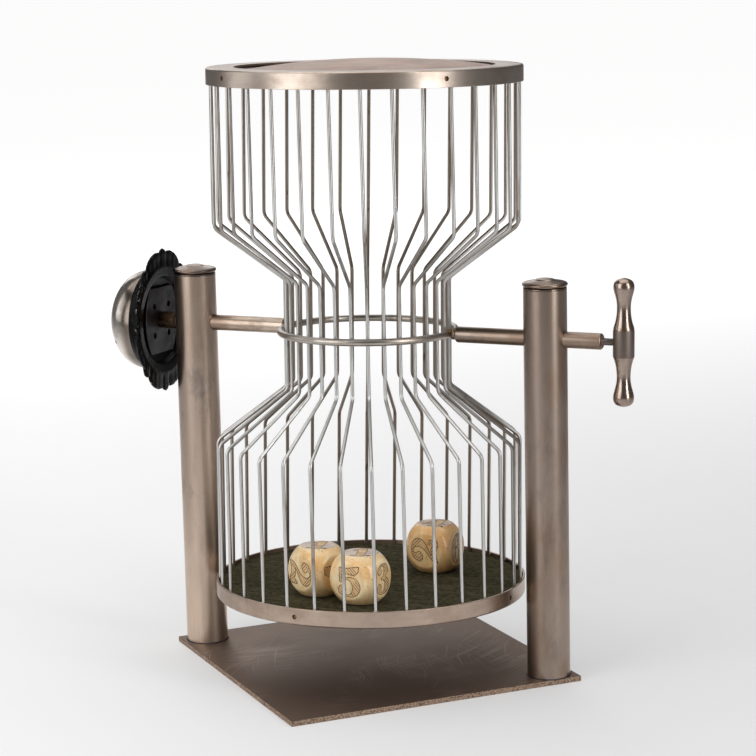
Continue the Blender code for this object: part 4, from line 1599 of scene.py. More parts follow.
@dataclass
class Cage:
    """The wires, the waist ring and the two drums."""

    count: int = 32
    wire_radius: float = 1.6 * MM
    drum_reach: float = 135.8 * MM
    waist_reach: float = 73.225 * MM
    waist_bend: float = 49.0 * MM
    drum_bend: float = 96.5 * MM
    bend_radius: float = 8.5 * MM
    wire_end: float = 225.0 * MM
    phase: float = math.radians(1.2)
    twist: float = math.radians(3.4)
    ring_radius: float = 78.3 * MM
    rod_radius: float = 3.175 * MM
    drum_radius: float = 139.7 * MM
    half_height: float = 236.7 * MM
    band: float = 14.8 * MM
    wall: float = 2.0 * MM
    lip: float = 24.7 * MM
    felt_face: float = 225.3 * MM
    felt: float = 1.5 * MM
    crown: float = 7.0 * MM
    moat: float = 1.5 * MM
    high_side: float = math.radians(5.0)
    lean: float = 1.3 * MM
    lean_drop: float = 0.95
    crown_shift: float = 0.8
    ripple: float = 0.16 * MM
    ripple_waves: int = 5
    ripple_start: float = 1.0
    shoulder: float = 2.2 * MM
    soft_edge: float = 0.3 * MM
    sheet: float = 1.2 * MM
    moat_depth: float = 0.9 * MM
    crown_edge_drop: float = 1.5 * MM
    felt_edge: float = 0.5 * MM
    felt_round: float = 0.4
    hole_radius: float = 2.2 * MM
    hole_inset: float = 1 * MM
    drill: float = 8 * MM
    hole_turns: Point2 = (math.radians(53.0), math.radians(85.5))
    solder_reach: float = 136.6 * MM
    solder_rise: float = 0.9
    solder_scatter: float = 0.5
    solder_beat: float = 1.9
    solder_half: Triple = (1.1 * MM, 2.3 * MM, 1.5 * MM)
    bend_steps: int = 8
    rod_sides: int = 20
    ring_sides: int = 160
    band_sides: int = 192
    shoulder_steps: int = 6
    crown_rings: int = 18
    crown_sides: int = 160
    felt_rings: int = 12
    felt_sides: int = 128
    axle_solder: tuple[tuple[Triple, Triple, float], ...] = (
        ((-81.9, 0, 0), (1.3, 6.6, 6.4), 0.0),
        ((82.3, 0, 0.4), (2.4, 5.6, 5.4), 0.0),
        ((79.5, -3.0, 3.2), (3.0, 4.2, 2.0), 0.5),
    )

    def azimuth(self, place: int) -> float:
        """Give the angle of one wire round the cage."""
        return self.phase + 2 * math.pi * place / self.count

    def route(self, azimuth: float) -> list[Vector]:
        """List the points of one wire's centre line.

        Args:
            azimuth: the wire's place round the cage.

        Returns:
            Points from the lower drum to the upper one.
        """
        corners = [
            (self.drum_reach, -self.wire_end),
            (self.drum_reach, -self.drum_bend),
            (self.waist_reach, -self.waist_bend),
            (self.waist_reach, self.waist_bend),
            (self.drum_reach, self.drum_bend),
            (self.drum_reach, self.wire_end),
        ]
        marks = []
        for reach, height in corners:
            lag = self.twist / 2 * height / self.wire_end
            marks.append(ring_point(reach, azimuth - lag, height))
        points = [marks[0]]
        for before, corner, after in zip(marks, marks[1:], marks[2:]):
            points += self.bend(before, corner, after)
        points.append(marks[-1])
        return points

    def bend(self, before: Vector, corner: Vector, after: Vector) -> list[Vector]:
        """List the points of one bend.

        Args:
            before: the route's corner before it.
            corner: the corner that is rounded.
            after: the corner after it.

        Returns:
            Points on an arc that both legs run into.
        """
        back = (before - corner).normalized()
        on = (after - corner).normalized()
        half = back.angle(on) / 2
        centre = corner + (back + on).normalized() * (self.bend_radius / math.sin(half))
        tangent = self.bend_radius / math.tan(half)
        start = corner + back * tangent - centre
        end = corner + on * tangent - centre
        sweep = start.angle(end)
        points = []
        for i in range(self.bend_steps + 1):
            t = sweep * i / self.bend_steps
            reach = start * math.sin(sweep - t) + end * math.sin(t)
            points.append(centre + reach / math.sin(sweep))
        return points

    def build_wires(self) -> None:
        """Make the wires, each in its own place."""
        for i in range(self.count):
            name = f"wire_{i + 1:02d}"
            mesh = swept(name, self.route(self.azimuth(i)), self.wire_radius)
            stands_for = [f"cage_{name}"]
            settle(mesh, name, PALETTE.wire, Body.CAGE, LAYOUT.drums(), stands_for)

    def build_ring(self) -> None:
        """Make the waist ring and the solder at the axles."""
        at = LAYOUT.axle()
        section = []
        for i in range(self.rod_sides):
            angle = 2 * math.pi * i / self.rod_sides
            across = self.rod_radius * math.sin(angle)
            section.append((self.ring_radius + across, self.rod_radius * math.cos(angle)))
        ring = turned("ring", section, self.ring_sides, hollow=True)
        settle(ring, "waist_ring_rod", PALETTE.ring, Body.CAGE, at, ["waist_ring"])
        spots = []
        for centre, half, turn in self.axle_solder:
            place = Vector([value * MM for value in centre])
            spots.append((place, tuple(value * MM for value in half), turn))
        joints = lumps("axle_solder", spots)
        settle(joints, "axle_solder", PALETTE.flux, Body.CAGE, at)

    def band_mesh(self) -> bpy.types.Mesh:
        """Turn a drum's band and bore its four holes.

        Returns:
            The mesh.
        """
        top, outer, shoulder = self.half_height, self.drum_radius, self.shoulder
        edge = top - self.band
        inner = outer - self.wall
        mouth = outer - self.lip
        arc = []
        for i in range(self.shoulder_steps + 1):
            angle = QUARTER * i / self.shoulder_steps
            across = outer - shoulder + shoulder * math.sin(angle)
            arc.append((across, top - shoulder + shoulder * math.cos(angle)))
        under = top - self.wall
        section = [(mouth, top), *arc, (outer, edge), (inner, edge), (inner, under), (mouth, under)]
        profile = eased(section, self.soft_edge, closed=True)
        band = turned("drum_band", profile, self.band_sides, hollow=True)
        tools = []
        for i in range(4):
            place = about("Z", QUARTER * i) @ moved(outer - self.hole_inset, 0, (top + edge) / 2)
            tools.append((place @ about("Y", QUARTER), self.hole_radius, self.drill))
        return bored(band, tools)

    def head_mesh(self, lean: float) -> bpy.types.Mesh:
        """Turn a crowned sheet head with a narrow moat where it meets the lip.

        Args:
            lean: how far the crown's edge tips below and above its middle.

        Returns:
            The mesh.
        """
        shown = self.drum_radius - self.lip - LAYOUT.seat
        crown_edge = shown - self.moat
        under = self.half_height - self.wall - LAYOUT.seat
        edge = self.half_height - self.crown_edge_drop
        rise = self.half_height + self.crown - edge
        rings = self.crown_rings
        profile = []
        for i in range(rings + 1):
            profile.append((crown_edge * i / rings, edge + rise * (1 - (i / rings) ** 2)))
        outer = self.drum_radius - self.wall - LAYOUT.seat
        floor, ditch = under - self.sheet, under - self.moat_depth
        profile += [(crown_edge, ditch), (shown, ditch), (shown, under)]
        profile += [(outer, under), (outer, floor), (0, floor)]

        def wave(angle: float, place: int) -> Point2:
            """Tip the crown, set it off its centre and leave the sheet a little wavy.

            Args:
                angle: the angle round the turn.
                place: the number of the profile point.

            Returns:
                What is added to radius and height.
            """
            if place > rings + 1:
                return 0.0, 0.0
            share = min(1.0, place / rings)
            high = math.cos(angle - self.high_side)
            waves = math.sin(self.ripple_waves * angle + self.ripple_start)
            ripple = self.ripple * share**2 * waves
            lift = lean * (share * high - self.lean_drop) + ripple if place <= rings else 0.0
            return self.moat * self.crown_shift * share * high * (lean > 0), lift

        return turned("drum_head", profile, self.crown_sides, wave=wave)

    def felt_mesh(self) -> bpy.types.Mesh:
        """Turn a felt disc with a soft edge.

        Returns:
            The mesh.
        """
        outer = self.drum_radius - self.wall - LAYOUT.seat
        half, rings = self.felt / 2, self.felt_rings
        profile = [(outer * i / rings, half) for i in range(rings)]
        profile += [(outer - self.felt_edge, half), (outer, half * self.felt_round)]
        profile += [(outer, -half), (0, -half)]
        return turned("drum_felt", profile, self.felt_sides)

    def solder_mesh(self, word: str, sign: int) -> bpy.types.Mesh:
        """Make the solder lumps where the wires meet a drum's band.

        Args:
            word: the drum's name.
            sign: 1 for the top drum and -1 for the bottom one.

        Returns:
            The mesh.
        """
        spots = []
        for i in range(self.count):
            angle = self.azimuth(i) - sign * self.twist / 2
            rise = (self.solder_rise + self.solder_scatter * math.sin(i * self.solder_beat)) * MM
            lift = sign * (self.half_height - self.band + rise)
            spots.append((ring_point(self.solder_reach, angle, lift), self.solder_half, angle))
        return lumps(f"{word}_solder", spots)

    def build_drums(self) -> None:
        """Make both drums with their heads, felts and soldered wire ends."""
        band = self.band_mesh()
        drums = LAYOUT.drums()
        for word, sign, tip, lean, turn, finish in (
            ("top", 1, 0.0, self.lean, self.hole_turns[0], PALETTE.top_band),
            ("bottom", -1, math.pi, 0.0, self.hole_turns[1], PALETTE.bottom_band),
        ):
            flip = about("X", tip)
            spun = band.copy()
            spun.transform(about("Z", turn) @ flip)
            true_side(spun, self.drum_radius)
            node = f"{word}_drum_"
            settle(spun, f"{word}_band", finish, Body.CAGE, drums, [node + "band"])
            head = self.head_mesh(lean)
            head.transform(drums.to_3x3().to_4x4() @ flip)
            at = moved(*drums.translation)
            settle(head, f"{word}_head", PALETTE.head, Body.CAGE, at, [node + "head"])
            middle = self.felt_face + self.felt / 2
            at = drums @ flip @ moved(0, 0, middle) @ about("X", math.pi)
            felt = self.felt_mesh()
            settle(felt, f"{word}_felt", PALETTE.felt, Body.CAGE, at, [node + "felt"])
            solder = self.solder_mesh(word, sign)
            settle(solder, f"{word}_wire_solder", PALETTE.solder, Body.CAGE, drums)
            dress(node + "board", PALETTE.board)

    def build(self) -> None:
        """Make and dress the whole cage."""
        self.build_wires()
        self.build_ring()
        self.build_drums()


Contour = Sequence[tuple[int, ...]]
CONTOUR_STEPS = 6

FIGURES: dict[str, Sequence[Contour]] = {
    "1": (
        (
            (12, 76, 1), (26, 84), (36, 100, 1), (60, 100, 1), (60, 12, 1), (66, 6), (78, 5, 1),
            (78, 0, 1), (14, 0, 1), (14, 5, 1), (26, 6), (32, 12, 1), (32, 74, 1), (22, 72),
        ),
    ),
    "2": (
        (
            (2, 70), (9, 87), (26, 98), (44, 100), (66, 96), (79, 84), (81, 68), (72, 53), (54, 40),
            (36, 31), (25, 23, 1), (44, 26), (62, 21), (72, 33, 1), (80, 33, 1), (78, 3, 1),
            (62, -1), (44, 5), (20, 4), (2, 0, 1), (4, 15), (18, 30), (38, 46), (50, 62), (53, 80),
            (45, 93), (33, 92), (30, 84), (36, 72), (29, 61), (16, 57), (5, 61),
        ),
    ),
    "3": (
        (
            (5, 78), (12, 91), (28, 99), (46, 100), (66, 95), (76, 82), (74, 66), (58, 54, 1),
            (74, 46), (82, 30), (76, 12), (60, 2), (40, 0), (18, 3), (4, 14), (4, 28), (14, 36),
            (28, 33), (31, 21), (27, 11), (36, 6), (48, 11), (54, 27), (49, 43), (30, 49, 1),
            (30, 55, 1), (45, 60), (50, 74), (46, 90), (36, 94), (29, 88), (33, 78), (28, 69),
            (15, 67),
        ),
    ),
    "4": (
        (
            (2, 30, 1), (42, 100, 1), (66, 100, 1), (66, 34, 1), (81, 34, 1), (81, 24, 1),
            (66, 24, 1), (66, 12, 1), (70, 6), (80, 5, 1), (80, 0, 1), (26, 0, 1), (26, 5, 1),
            (36, 6), (40, 12, 1), (40, 24, 1), (2, 24, 1),
        ),
        ((12, 34, 1), (40, 34, 1), (40, 82, 1)),
    ),
    "5": (
        (
            (6, 97, 1), (30, 95), (62, 100), (78, 102, 1), (76, 86), (66, 76), (48, 74),
            (16, 78, 1), (14, 56, 1), (34, 64), (58, 63), (76, 52), (83, 34), (77, 14), (60, 2),
            (38, 0), (16, 4), (3, 16), (4, 30), (14, 37), (27, 33), (30, 21), (26, 12), (36, 6),
            (48, 11), (54, 28), (50, 48), (38, 57), (24, 56), (12, 47), (6, 50, 1),
        ),
    ),
    "6": (
        (
            (70, 80), (66, 93), (50, 100), (32, 97), (14, 82), (4, 58), (4, 32), (14, 10), (34, 0),
            (54, 1), (74, 12), (81, 31), (75, 50), (58, 60), (42, 58), (31, 50, 1), (30, 72),
            (38, 90), (48, 93), (50, 85), (46, 76), (52, 68), (63, 69),
        ),
        (
            (31, 42), (36, 52), (46, 52), (53, 42), (54, 26), (48, 8), (38, 6), (32, 20),
        ),
    ),
}


def rounded_contour(contour: Contour) -> list[Point2]:
    """Run a smooth closed line through a contour, with its marked corners left sharp.

    Args:
        contour: its points in hundredths, each with a third number where it is a corner.

    Returns:
        The finer contour.
    """
    count = len(contour)
    marks = [(x / 100, y / 100, *corner) for x, y, *corner in contour]
    result: list[Point2] = []
    for i, here in enumerate(marks):
        before, after, beyond = marks[i - 1], marks[(i + 1) % count], marks[(i + 2) % count]
        start = here if len(here) > 2 else before
        end = after if len(after) > 2 else beyond
        for step in range(CONTOUR_STEPS):
            t = step / CONTOUR_STEPS
            point = []
            for k in (0, 1):
                slope_a = (after[k] - start[k]) / 2
                slope_b = (end[k] - here[k]) / 2
                point.append(
                    here[k] * (2 * t**3 - 3 * t**2 + 1)
                    + slope_a * (t**3 - 2 * t**2 + t)
                    + after[k] * (3 * t**2 - 2 * t**3)
                    + slope_b * (t**3 - t**2)
                )
            result.append((point[0], point[1]))
    return result


@dataclass
class Die:
    """One large die with engraved numerals."""

    node: str
    body: Body
    place: Point2
    turn: float
    faces: Sequence[tuple[str, float]]
    finish: Finish = PALETTE.bone
    reach: float = 21.8 * MM
    ball: float = 27.0 * MM
    power: float = 220.0
    cut: float = 1.002
    figure: float = 26.5 * MM
    middle: Point2 = (0.4, 0.5)
    line: float = 0.40 * MM
    line_lift: float = -0.22 * MM
    fill_lift: float = 0.02 * MM
    steps: int = 44

    def mesh(self) -> bpy.types.Mesh:
        """Make a cube whose edges and corners are cut to a ball, softly.

        Returns:
            The mesh.
        """
        mesh = bpy.data.meshes.new(self.node + "_looks")
        shape = bmesh.new()
        bmesh.ops.create_cube(shape, size=2)
        bmesh.ops.subdivide_edges(shape, edges=shape.edges[:], cuts=self.steps, use_grid_fill=True)
        for vertex in shape.verts:
            angles = [math.tan(c * math.pi / 4) for c in vertex.co]
            way = Vector(angles).normalized()
            cube = self.reach / max(abs(c) for c in way)
            softened = (1 + (cube / self.ball) ** self.power) ** (-1 / self.power)
            vertex.co = way * min(cube * softened * self.cut, cube)
        shape.to_mesh(mesh)
        shape.free()
        mesh.shade_smooth()
        return mesh

    def numeral(self, digit: str, outline: bool) -> bpy.types.Mesh:
        """Cut one fat numeral, as its engraved outline or its inside.

        Args:
            digit: the figure.
            outline: whether it is the outline.

        Returns:
            The mesh, flat round its own origin.
        """
        curve = bpy.data.curves.new("numeral", "CURVE")
        curve.dimensions = "3D" if outline else "2D"
        curve.fill_mode = "FULL" if outline else "FRONT"
        if outline:
            curve.bevel_depth = self.line
            curve.bevel_resolution = 1
        for contour in FIGURES[digit]:
            points = rounded_contour(contour)
            spline = curve.splines.new("POLY")
            spline.points.add(len(points) - 1)
            for target, (x, y) in zip(spline.points, points):
                across, up = x - self.middle[0], y - self.middle[1]
                target.co = (across * self.figure, up * self.figure, 0.0, 1.0)
            spline.use_cyclic_u = True
        work = placed("numeral", curve)
        mesh = drawn(work)
        bpy.data.objects.remove(work, do_unlink=True)
        return mesh

    def ways(self) -> dict[str, Matrix]:
        """Give the turn that faces a flat numeral out of each side.

        Returns:
            Each side's turn, in the order of the faces.
        """
        upright = about("X", QUARTER)
        turns = {"front": 0.0, "right": QUARTER, "back": math.pi, "left": -QUARTER}
        sides = {word: about("Z", angle) @ upright for word, angle in turns.items()}
        return {**sides, "top": Matrix.Identity(4), "bottom": about("X", math.pi)}

    def build(self) -> None:
        """Make the die and its six numerals."""
        height = -Cage.felt_face + LAYOUT.seat + self.reach
        at = LAYOUT.drums() @ moved(*self.place, height) @ about("Z", self.turn)
        bone = self.mesh()
        settle(bone, self.node + "_bone", self.finish, self.body, at, [self.node])
        for (word, way), (digit, roll) in zip(self.ways().items(), self.faces):
            spin = about("Z", math.radians(roll))
            for kind, finish, lift in (
                ("line", PALETTE.ink, self.line_lift),
                ("fill", PALETTE.hatch, self.fill_lift),
            ):
                spot = at @ way @ moved(0, 0, self.reach + lift) @ spin
                numeral = self.numeral(digit, kind == "line")
                settle(numeral, f"{self.node}_{word}_{kind}", finish, self.body, spot)


@dataclass
class Bell:
    """The bell at the axle's left end, outwards from the casting's back."""

    back: float = 204.25 * MM
    width_share: float = 0.81
    lobes: int = 8
    mouth: float = 13.5 * MM
    gong_radius: float = 46.0 * MM
    gong_depth: float = 33.8 * MM
    gong_wall: float = 1.6 * MM
    fullness: float = 2.2
    relief: float = 1.1 * MM
    ground: float = 0.25
    bead: float = 0.14
    bead_rise: float = 0.95
    bead_dip: float = 0.2
    bead_flank: float = 4.0
    leaf_rise: float = 0.75
    vein_depth: float = 0.13
    vein_count: float = 3.4
    crown_hole: float = 1.8 * MM
    lip_edge: float = 0.3 * MM
    lip_drop: float = 0.2 * MM
    side_hole: float = 1.7 * MM
    hole_turn: float = math.radians(243.0)
    hole_tilt: float = math.radians(56.0)
    plate_half_height: float = 30.5 * MM
    plate_half_width: float = 29.4 * MM
    plate_bow: float = 8.9 * MM
    plate_edge: float = 0.4 * MM
    plate_middle: float = 4.7 * MM
    plate_bore: float = 4.3 * MM
    plate_hole: float = 2.9 * MM
    plate_hole_reach: float = 19 * MM
    plate_steps: int = 32
    plate_layers: tuple[Point2, ...] = ((0, 3.7), (1, 4.1), (1, 5.3), (0, 5.7))
    plate_drill: float = 6 * MM
    gong_drill: float = 10 * MM
    casting_sides: int = 480
    gong_sides: int = 144
    dome_steps: int = 36
    hub_sides: int = 64
    hub_edge: float = 0.4 * MM
    screw_sides: int = 48
    screw_edge: float = 0.25 * MM
    pin_sides: int = 40
    pin_edge: float = 0.2 * MM
    pivot_reach: float = 24.0 * MM
    inside: tuple[tuple[float, ...], ...] = (
        (4.4, 10.0), (37.0, 10.0), (37.6, 10.2), (40.7, 12.6), (41.4, 13.0), (46.5, 13.0),
    )
    flare: tuple[tuple[float, ...], ...] = (
        (47.0, 12.7, 0.0, 0.0), (48.2, 10.4, 0.05, 0.1), (49.6, 8.2, 0.15, 0.3),
        (51.4, 6.2, 0.3, 0.6), (54.0, 4.9, 0.45, 0.8), (57.4, 4.1, 0.6, 0.9), (61.0, 3.5, 0.8, 0.9),
        (64.2, 3.1, 0.95, 0.7), (66.1, 2.6, 1.0, 0.3), (66.5, 1.7, 1.0, 0.0),
        (66.0, 0.9, 1.0, -0.3), (64.0, 0.7, 0.95, -0.7), (60.8, 0.9, 0.8, -0.9),
        (57.0, 1.0, 0.6, -0.9), (53.5, 0.8, 0.4, -0.7), (51.0, 0.3, 0.2, -0.3),
        (49.0, 0.0, 0.05, 0.0),
    )
    behind: tuple[tuple[float, ...], ...] = (
        (48.4, 0.05), (42.2, 0.85), (41.0, 1.1), (40.6, 1.5), (38.7, 5.6), (38.2, 6.0), (4.4, 6.0),
    )
    screw: tuple[Point2, ...] = (
        (0, 1.2), (2.68, 0.96), (4.0, 0.0), (1.5, 0.0), (1.5, -8.9), (0, -8.9),
    )
    hub: tuple[Point2, ...] = ((4.3, 3.4), (7.8, 3.4), (7.8, -12.4), (4.3, -12.4))
    pin: tuple[Point2, ...] = (
        (0, 25.8), (3.1, 25.8), (3.1, 24.3), (2.0, 24.3), (2.0, 18.7), (3.1, 18.7), (3.1, 10.3),
        (0, 10.3),
    )
    shares: tuple[Point2, ...] = (
        (0.00, 1.000), (0.07, 0.985), (0.14, 0.945), (0.24, 0.972), (0.36, 0.988), (0.50, 0.992),
        (0.64, 0.988), (0.76, 0.972), (0.86, 0.945), (0.93, 0.985), (1.00, 1.000),
    )

    def lobe(self, angle: float) -> float:
        """Give the rim's share of its full radius at an angle.

        Args:
            angle: the angle round the bell's axis.

        Returns:
            The share.
        """
        turn = (angle / (2 * math.pi) * self.lobes) % 1.0
        for (a, low), (b, high) in zip(self.shares, self.shares[1:]):
            if a <= turn <= b:
                eased_share = (1 - math.cos(math.pi * (turn - a) / (b - a))) / 2
                return low + (high - low) * eased_share
        return 1.0

    def leaf(self, angle: float) -> float:
        """Give the height of the leaf relief at an angle, from 0 to 1.

        Args:
            angle: the angle round the bell's axis.

        Returns:
            The height.
        """
        turn = (angle / (2 * math.pi) * self.lobes) % 1.0
        if turn < self.bead or turn > 1 - self.bead:
            across = min(turn, 1 - turn) / self.bead
            dip = 1 - self.bead_dip + self.bead_dip * min(1.0, across * self.bead_flank)
            return self.bead_rise * math.sqrt(max(0.0, 1 - across**2)) * dip
        across = abs(turn - 0.5) / (0.5 - self.bead)
        veins = self.vein_depth * math.cos(across * self.vein_count * math.pi)
        return self.leaf_rise * math.sqrt(max(0.0, 1 - across**2)) + veins * (1 - across)

    def casting_mesh(self) -> bpy.types.Mesh:
        """Turn the dished casting with its leafy oval flare.

        Returns:
            The mesh.
        """
        plain = (0.0, 0.0)
        rows = [(*row, *plain) for row in self.inside] + list(self.flare)
        rows += [(*row, *plain) for row in self.behind]

        def wave(angle: float, place: int) -> Point2:
            """Give the lobes and the leaf relief.

            Args:
                angle: the angle round the turn.
                place: the number of the profile point.

            Returns:
                What is added to radius and height.
            """
            radius, _, lobed, relief = rows[place]
            cut = (self.lobe(angle) - 1.0) * radius * MM * lobed
            return cut, self.relief * relief * (self.leaf(angle) - self.ground)

        def squash(place: int) -> float:
            """Narrow the flare to an upright oval."""
            return 1 - (1 - self.width_share) * rows[place][2]

        sides = self.casting_sides
        return turned("casting", in_mm(rows), sides, hollow=True, wave=wave, squash=squash)

    def dome(self, radius: float, depth: float) -> list[Point2]:
        """List points of a full-shouldered dome from the crown hole to the mouth.

        Args:
            radius: the dome's radius at its mouth.
            depth: its depth.

        Returns:
            The points.
        """
        power = 2 / self.fullness
        start = math.asin((self.crown_hole / radius) ** (1 / power))
        points = []
        for i in range(self.dome_steps):
            angle = start + (QUARTER - start) * i / self.dome_steps
            points.append((radius * math.sin(angle) ** power, depth * math.cos(angle) ** power))
        points.append((radius, 0.0))
        return points

    def gong_mesh(self) -> bpy.types.Mesh:
        """Turn the gong's thin dome and bore its side hole.

        Returns:
            The mesh.
        """
        thin = self.gong_radius - self.gong_wall
        outer = self.dome(self.gong_radius, self.gong_depth)
        inner = self.dome(thin, self.gong_depth - self.gong_wall)
        low = -self.lip_drop
        lip = [(self.gong_radius - self.lip_edge, low), (thin + self.lip_edge, low)]
        gong = turned("gong_dome", outer + lip + inner[::-1], self.gong_sides, hollow=True)
        power = 2 / self.fullness
        across = self.gong_radius * math.sin(self.hole_tilt) ** power
        high = self.gong_depth * math.cos(self.hole_tilt) ** power
        place = ring_point(across, self.hole_turn, high)
        aim = place.to_track_quat("Z", "Y").to_matrix().to_4x4()
        return bored(gong, [(moved(*place) @ aim, self.side_hole, self.gong_drill)])

    def back_plate_mesh(self) -> bpy.types.Mesh:
        """Make the upright plate, bowed at both sides, with rounded edges and its holes.

        Returns:
            The mesh.
        """
        half_height, bow = self.plate_half_height, self.plate_bow
        radius = (half_height**2 + bow**2) / (2 * bow)
        corner = math.acos(half_height / radius)
        rim: list[Point2] = []
        for side in (1, -1):
            for i in range(self.plate_steps + 1):
                angle = corner + (math.pi - 2 * corner) * i / self.plate_steps
                across = self.plate_half_width - radius + radius * math.sin(angle)
                rim.append((side * radius * math.cos(angle), side * across))
        count = len(rim)
        vertices = []
        for share, height in self.plate_layers:
            scale = 1 - (1 - share) * self.plate_edge / half_height
            vertices += [(x * scale, y * scale, height * MM) for x, y in rim]
        faces: list[tuple[int, ...]] = [tuple(reversed(range(count)))]
        for low in range(0, len(vertices) - count, count):
            high = low + count
            for i in range(count):
                j = (i + 1) % count
                faces.append((low + i, low + j, high + j, high + i))
        faces.append(tuple(range(len(vertices) - count, len(vertices))))
        plate = finished("back_plate", vertices, faces)
        drills = [(moved(0, 0, self.plate_middle), self.plate_bore, self.plate_drill)]
        for i in range(4):
            angle = QUARTER * (i + 0.5)
            spot = moved(*ring_point(self.plate_hole_reach, angle, self.plate_middle))
            drills.append((spot, self.plate_hole, self.plate_drill))
        return bored(plate, drills)

    def build(self) -> None:
        """Make and dress the bell."""
        at = LAYOUT.outwards(self.back, right=False)
        mouth = at @ moved(0, 0, self.mouth)
        inwards = about("Y", -QUARTER)
        pivot = LAYOUT.axle() @ moved(-self.back, 0, self.pivot_reach) @ inwards
        top = self.gong_depth + LAYOUT.seat
        head = eased([(r, top + z) for r, z in in_mm(self.screw)], self.screw_edge)
        screw = turned("screw", head, self.screw_sides)
        collar = eased(in_mm(self.hub), self.hub_edge, closed=True)
        hub = turned("hub", collar, self.hub_sides, hollow=True)
        pin = turned("pin", eased(in_mm(self.pin), self.pin_edge), self.pin_sides)
        enamel, bright, dull = PALETTE.enamel, PALETTE.gong, PALETTE.iron
        for mesh, name, finish, slot, place, node in (
            (self.casting_mesh(), "casting", enamel, Slot.ENAMEL, at, "bell_casting"),
            (self.gong_mesh(), "gong_dome", bright, Slot.GONG, mouth, "gong"),
            (screw, "crown_screw", bright, Slot.GONG, mouth, "gong_screw"),
            (hub, "collar", PALETTE.collar, Slot.BRASS, at, "bell_hub"),
            (self.back_plate_mesh(), "back_plate", dull, Slot.IRON, at, "bell_plate"),
            (pin, "clapper_post", dull, Slot.IRON, pivot, "clapper_pin"),
        ):
            settle(mesh, name, finish, Body.CAGE, place, [node])
        dress("clapper", dull)


@dataclass(frozen=True)
class SoftBox:
    """One soft light that looks at the cage.

    Its bearing is in degrees round from the camera, to the right, and its
    power in watts. Away is its distance from the axle.
    """

    name: str
    bearing: float
    height: float
    away: float
    size: Point2
    power: float

    def hang(self, azimuth: float, target: float) -> None:
        """Hang the light.

        Args:
            azimuth: the camera's turn about Z.
            target: the height that it looks at.
        """
        data = bpy.data.lights.new(self.name, "AREA")
        data.shape = "RECTANGLE"
        data.size, data.size_y = self.size
        data.energy = self.power
        lamp = placed(self.name, data)
        angle = azimuth - QUARTER + math.radians(self.bearing)
        lamp.location = ring_point(self.away, angle, self.height)
        aim = Vector((0, 0, target)) - lamp.location
        lamp.rotation_euler = aim.to_track_quat("-Z", "Y").to_euler()


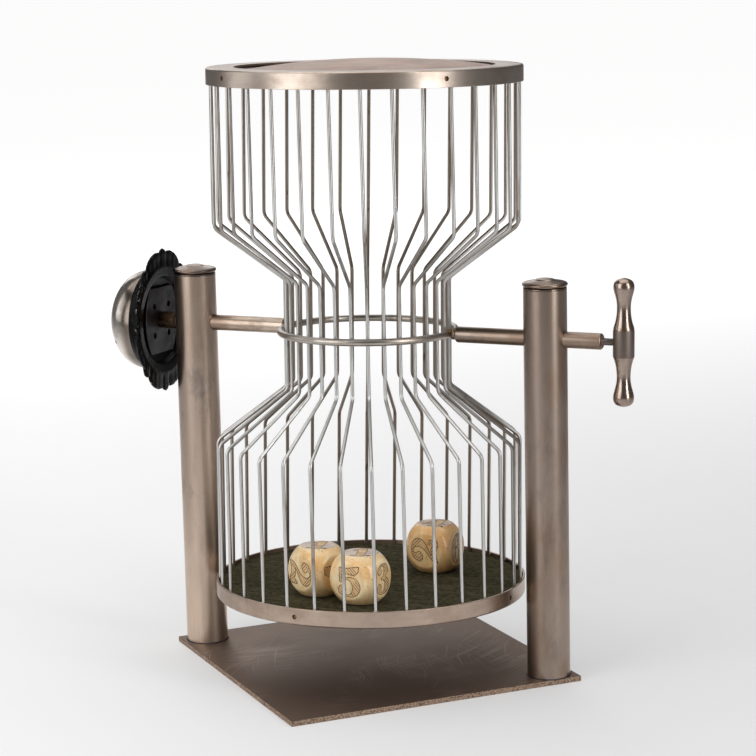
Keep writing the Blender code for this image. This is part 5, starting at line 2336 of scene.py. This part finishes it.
@dataclass
class Studio:
    """Floor, soft lights and the camera."""

    azimuth: float = math.radians(23.65)
    pitch: float = math.radians(10.642)
    roll: float = math.radians(-1.294)
    eye: Triple = (0.90956, -2.0522, 0.6847)
    focal_pixels: float = 2547.2
    frame_pixels: float = 756.0
    sensor: float = 36.0
    far_clip: float = 60.0
    floor_reach: float = 30.0
    target: float = 0.30
    room: float = 0.12
    room_light: Colour = tone(1.0, 0.97, 0.95)
    horizon: Colour = tone(0.86, 0.86, 0.87)
    boxes: tuple[SoftBox, ...] = (
        SoftBox("left_box", -50.0, 0.95, 1.9, (1.4, 1.7), 18.0),
        SoftBox("side_box", -98.0, 0.80, 1.7, (0.9, 1.1), 3.0),
        SoftBox("right_box", 48.0, 0.95, 1.9, (0.5, 1.7), 18.0),
        SoftBox("overhead_box", 200.0, 2.6, 0.3, (3.2, 3.2), 50.0),
        SoftBox("rear_box", -170.0, 1.75, 3.4, (2.2, 2.0), 16.0),
    )

    def camera(self) -> None:
        """Set the camera where the photograph was taken."""
        data = bpy.data.cameras.new("studio_camera")
        data.sensor_width = self.sensor
        data.lens = self.focal_pixels / self.frame_pixels * data.sensor_width
        data.clip_end = self.far_clip
        camera = placed("studio_camera", data)
        aim = about("Z", self.azimuth) @ about("X", QUARTER - self.pitch) @ about("Z", self.roll)
        camera.matrix_world = moved(*self.eye) @ aim
        bpy.context.scene.camera = camera

    def floor(self) -> None:
        """Lay the level floor with its lane along the camera's view."""
        far = self.floor_reach
        corners = [(-far, -far, 0), (far, -far, 0), (far, far, 0), (-far, far, 0)]
        mesh = finished("studio_floor", corners, [(0, 1, 2, 3)])
        mesh.materials.append(PALETTE.paper.material())
        floor = placed("studio_floor", mesh)
        floor.matrix_world = about("Z", self.azimuth)

    def world(self) -> None:
        """Leave the room dim, and pale where a view looks past the floor."""
        world = bpy.data.worlds.new("studio_room")
        bpy.context.scene.world = world
        world.use_nodes = True
        tree = world.node_tree
        dim = tree.nodes["Background"]
        dim.inputs["Color"].default_value = self.room_light
        dim.inputs["Strength"].default_value = self.room
        pale = tree.nodes.new("ShaderNodeBackground")
        pale.inputs["Color"].default_value = self.horizon
        seen = tree.nodes.new("ShaderNodeLightPath")
        choice = tree.nodes.new("ShaderNodeMixShader")
        tree.links.new(seen.outputs["Is Camera Ray"], choice.inputs[0])
        tree.links.new(dim.outputs[0], choice.inputs[1])
        tree.links.new(pale.outputs[0], choice.inputs[2])
        tree.links.new(choice.outputs[0], tree.nodes["World Output"].inputs["Surface"])

    def build(self) -> None:
        """Set up the studio."""
        self.camera()
        self.floor()
        self.world()
        for box in self.boxes:
            box.hang(self.azimuth, self.target)
        bpy.context.scene.view_settings.view_transform = "Standard"
        LOG.info("set up the studio")


def main() -> None:
    """Build every sub-assembly and the studio, in order."""
    Studio().build()
    Stand().build()
    Axle().build()
    Cage().build()
    reach = Cage.drum_radius
    dice = (
        Die(
            "die_1",
            Body.DIE_1,
            (-0.141 * reach, -0.498 * reach),
            math.radians(-22.0),
            (("2", -90.0), ("4", 90.0), ("5", 0.0), ("3", 90.0), ("1", 30.0), ("6", 0.0)),
        ),
        Die(
            "die_2",
            Body.DIE_2,
            (0.190 * reach, -0.593 * reach),
            math.radians(-4.5),
            (("5", 0.0), ("3", 0.0), ("2", 0.0), ("4", 0.0), ("1", 20.0), ("6", 0.0)),
        ),
        Die(
            "die_3",
            Body.DIE_3,
            (0.3085 * reach, 0.353 * reach),
            math.radians(-4.0),
            (("2", 90.0), ("6", 0.0), ("5", 0.0), ("1", 0.0), ("4", 10.0), ("3", 0.0)),
            PALETTE.deep_bone,
        ),
    )
    for die in dice:
        die.build()
    Bell().build()


if __name__ == "__main__":
    main()
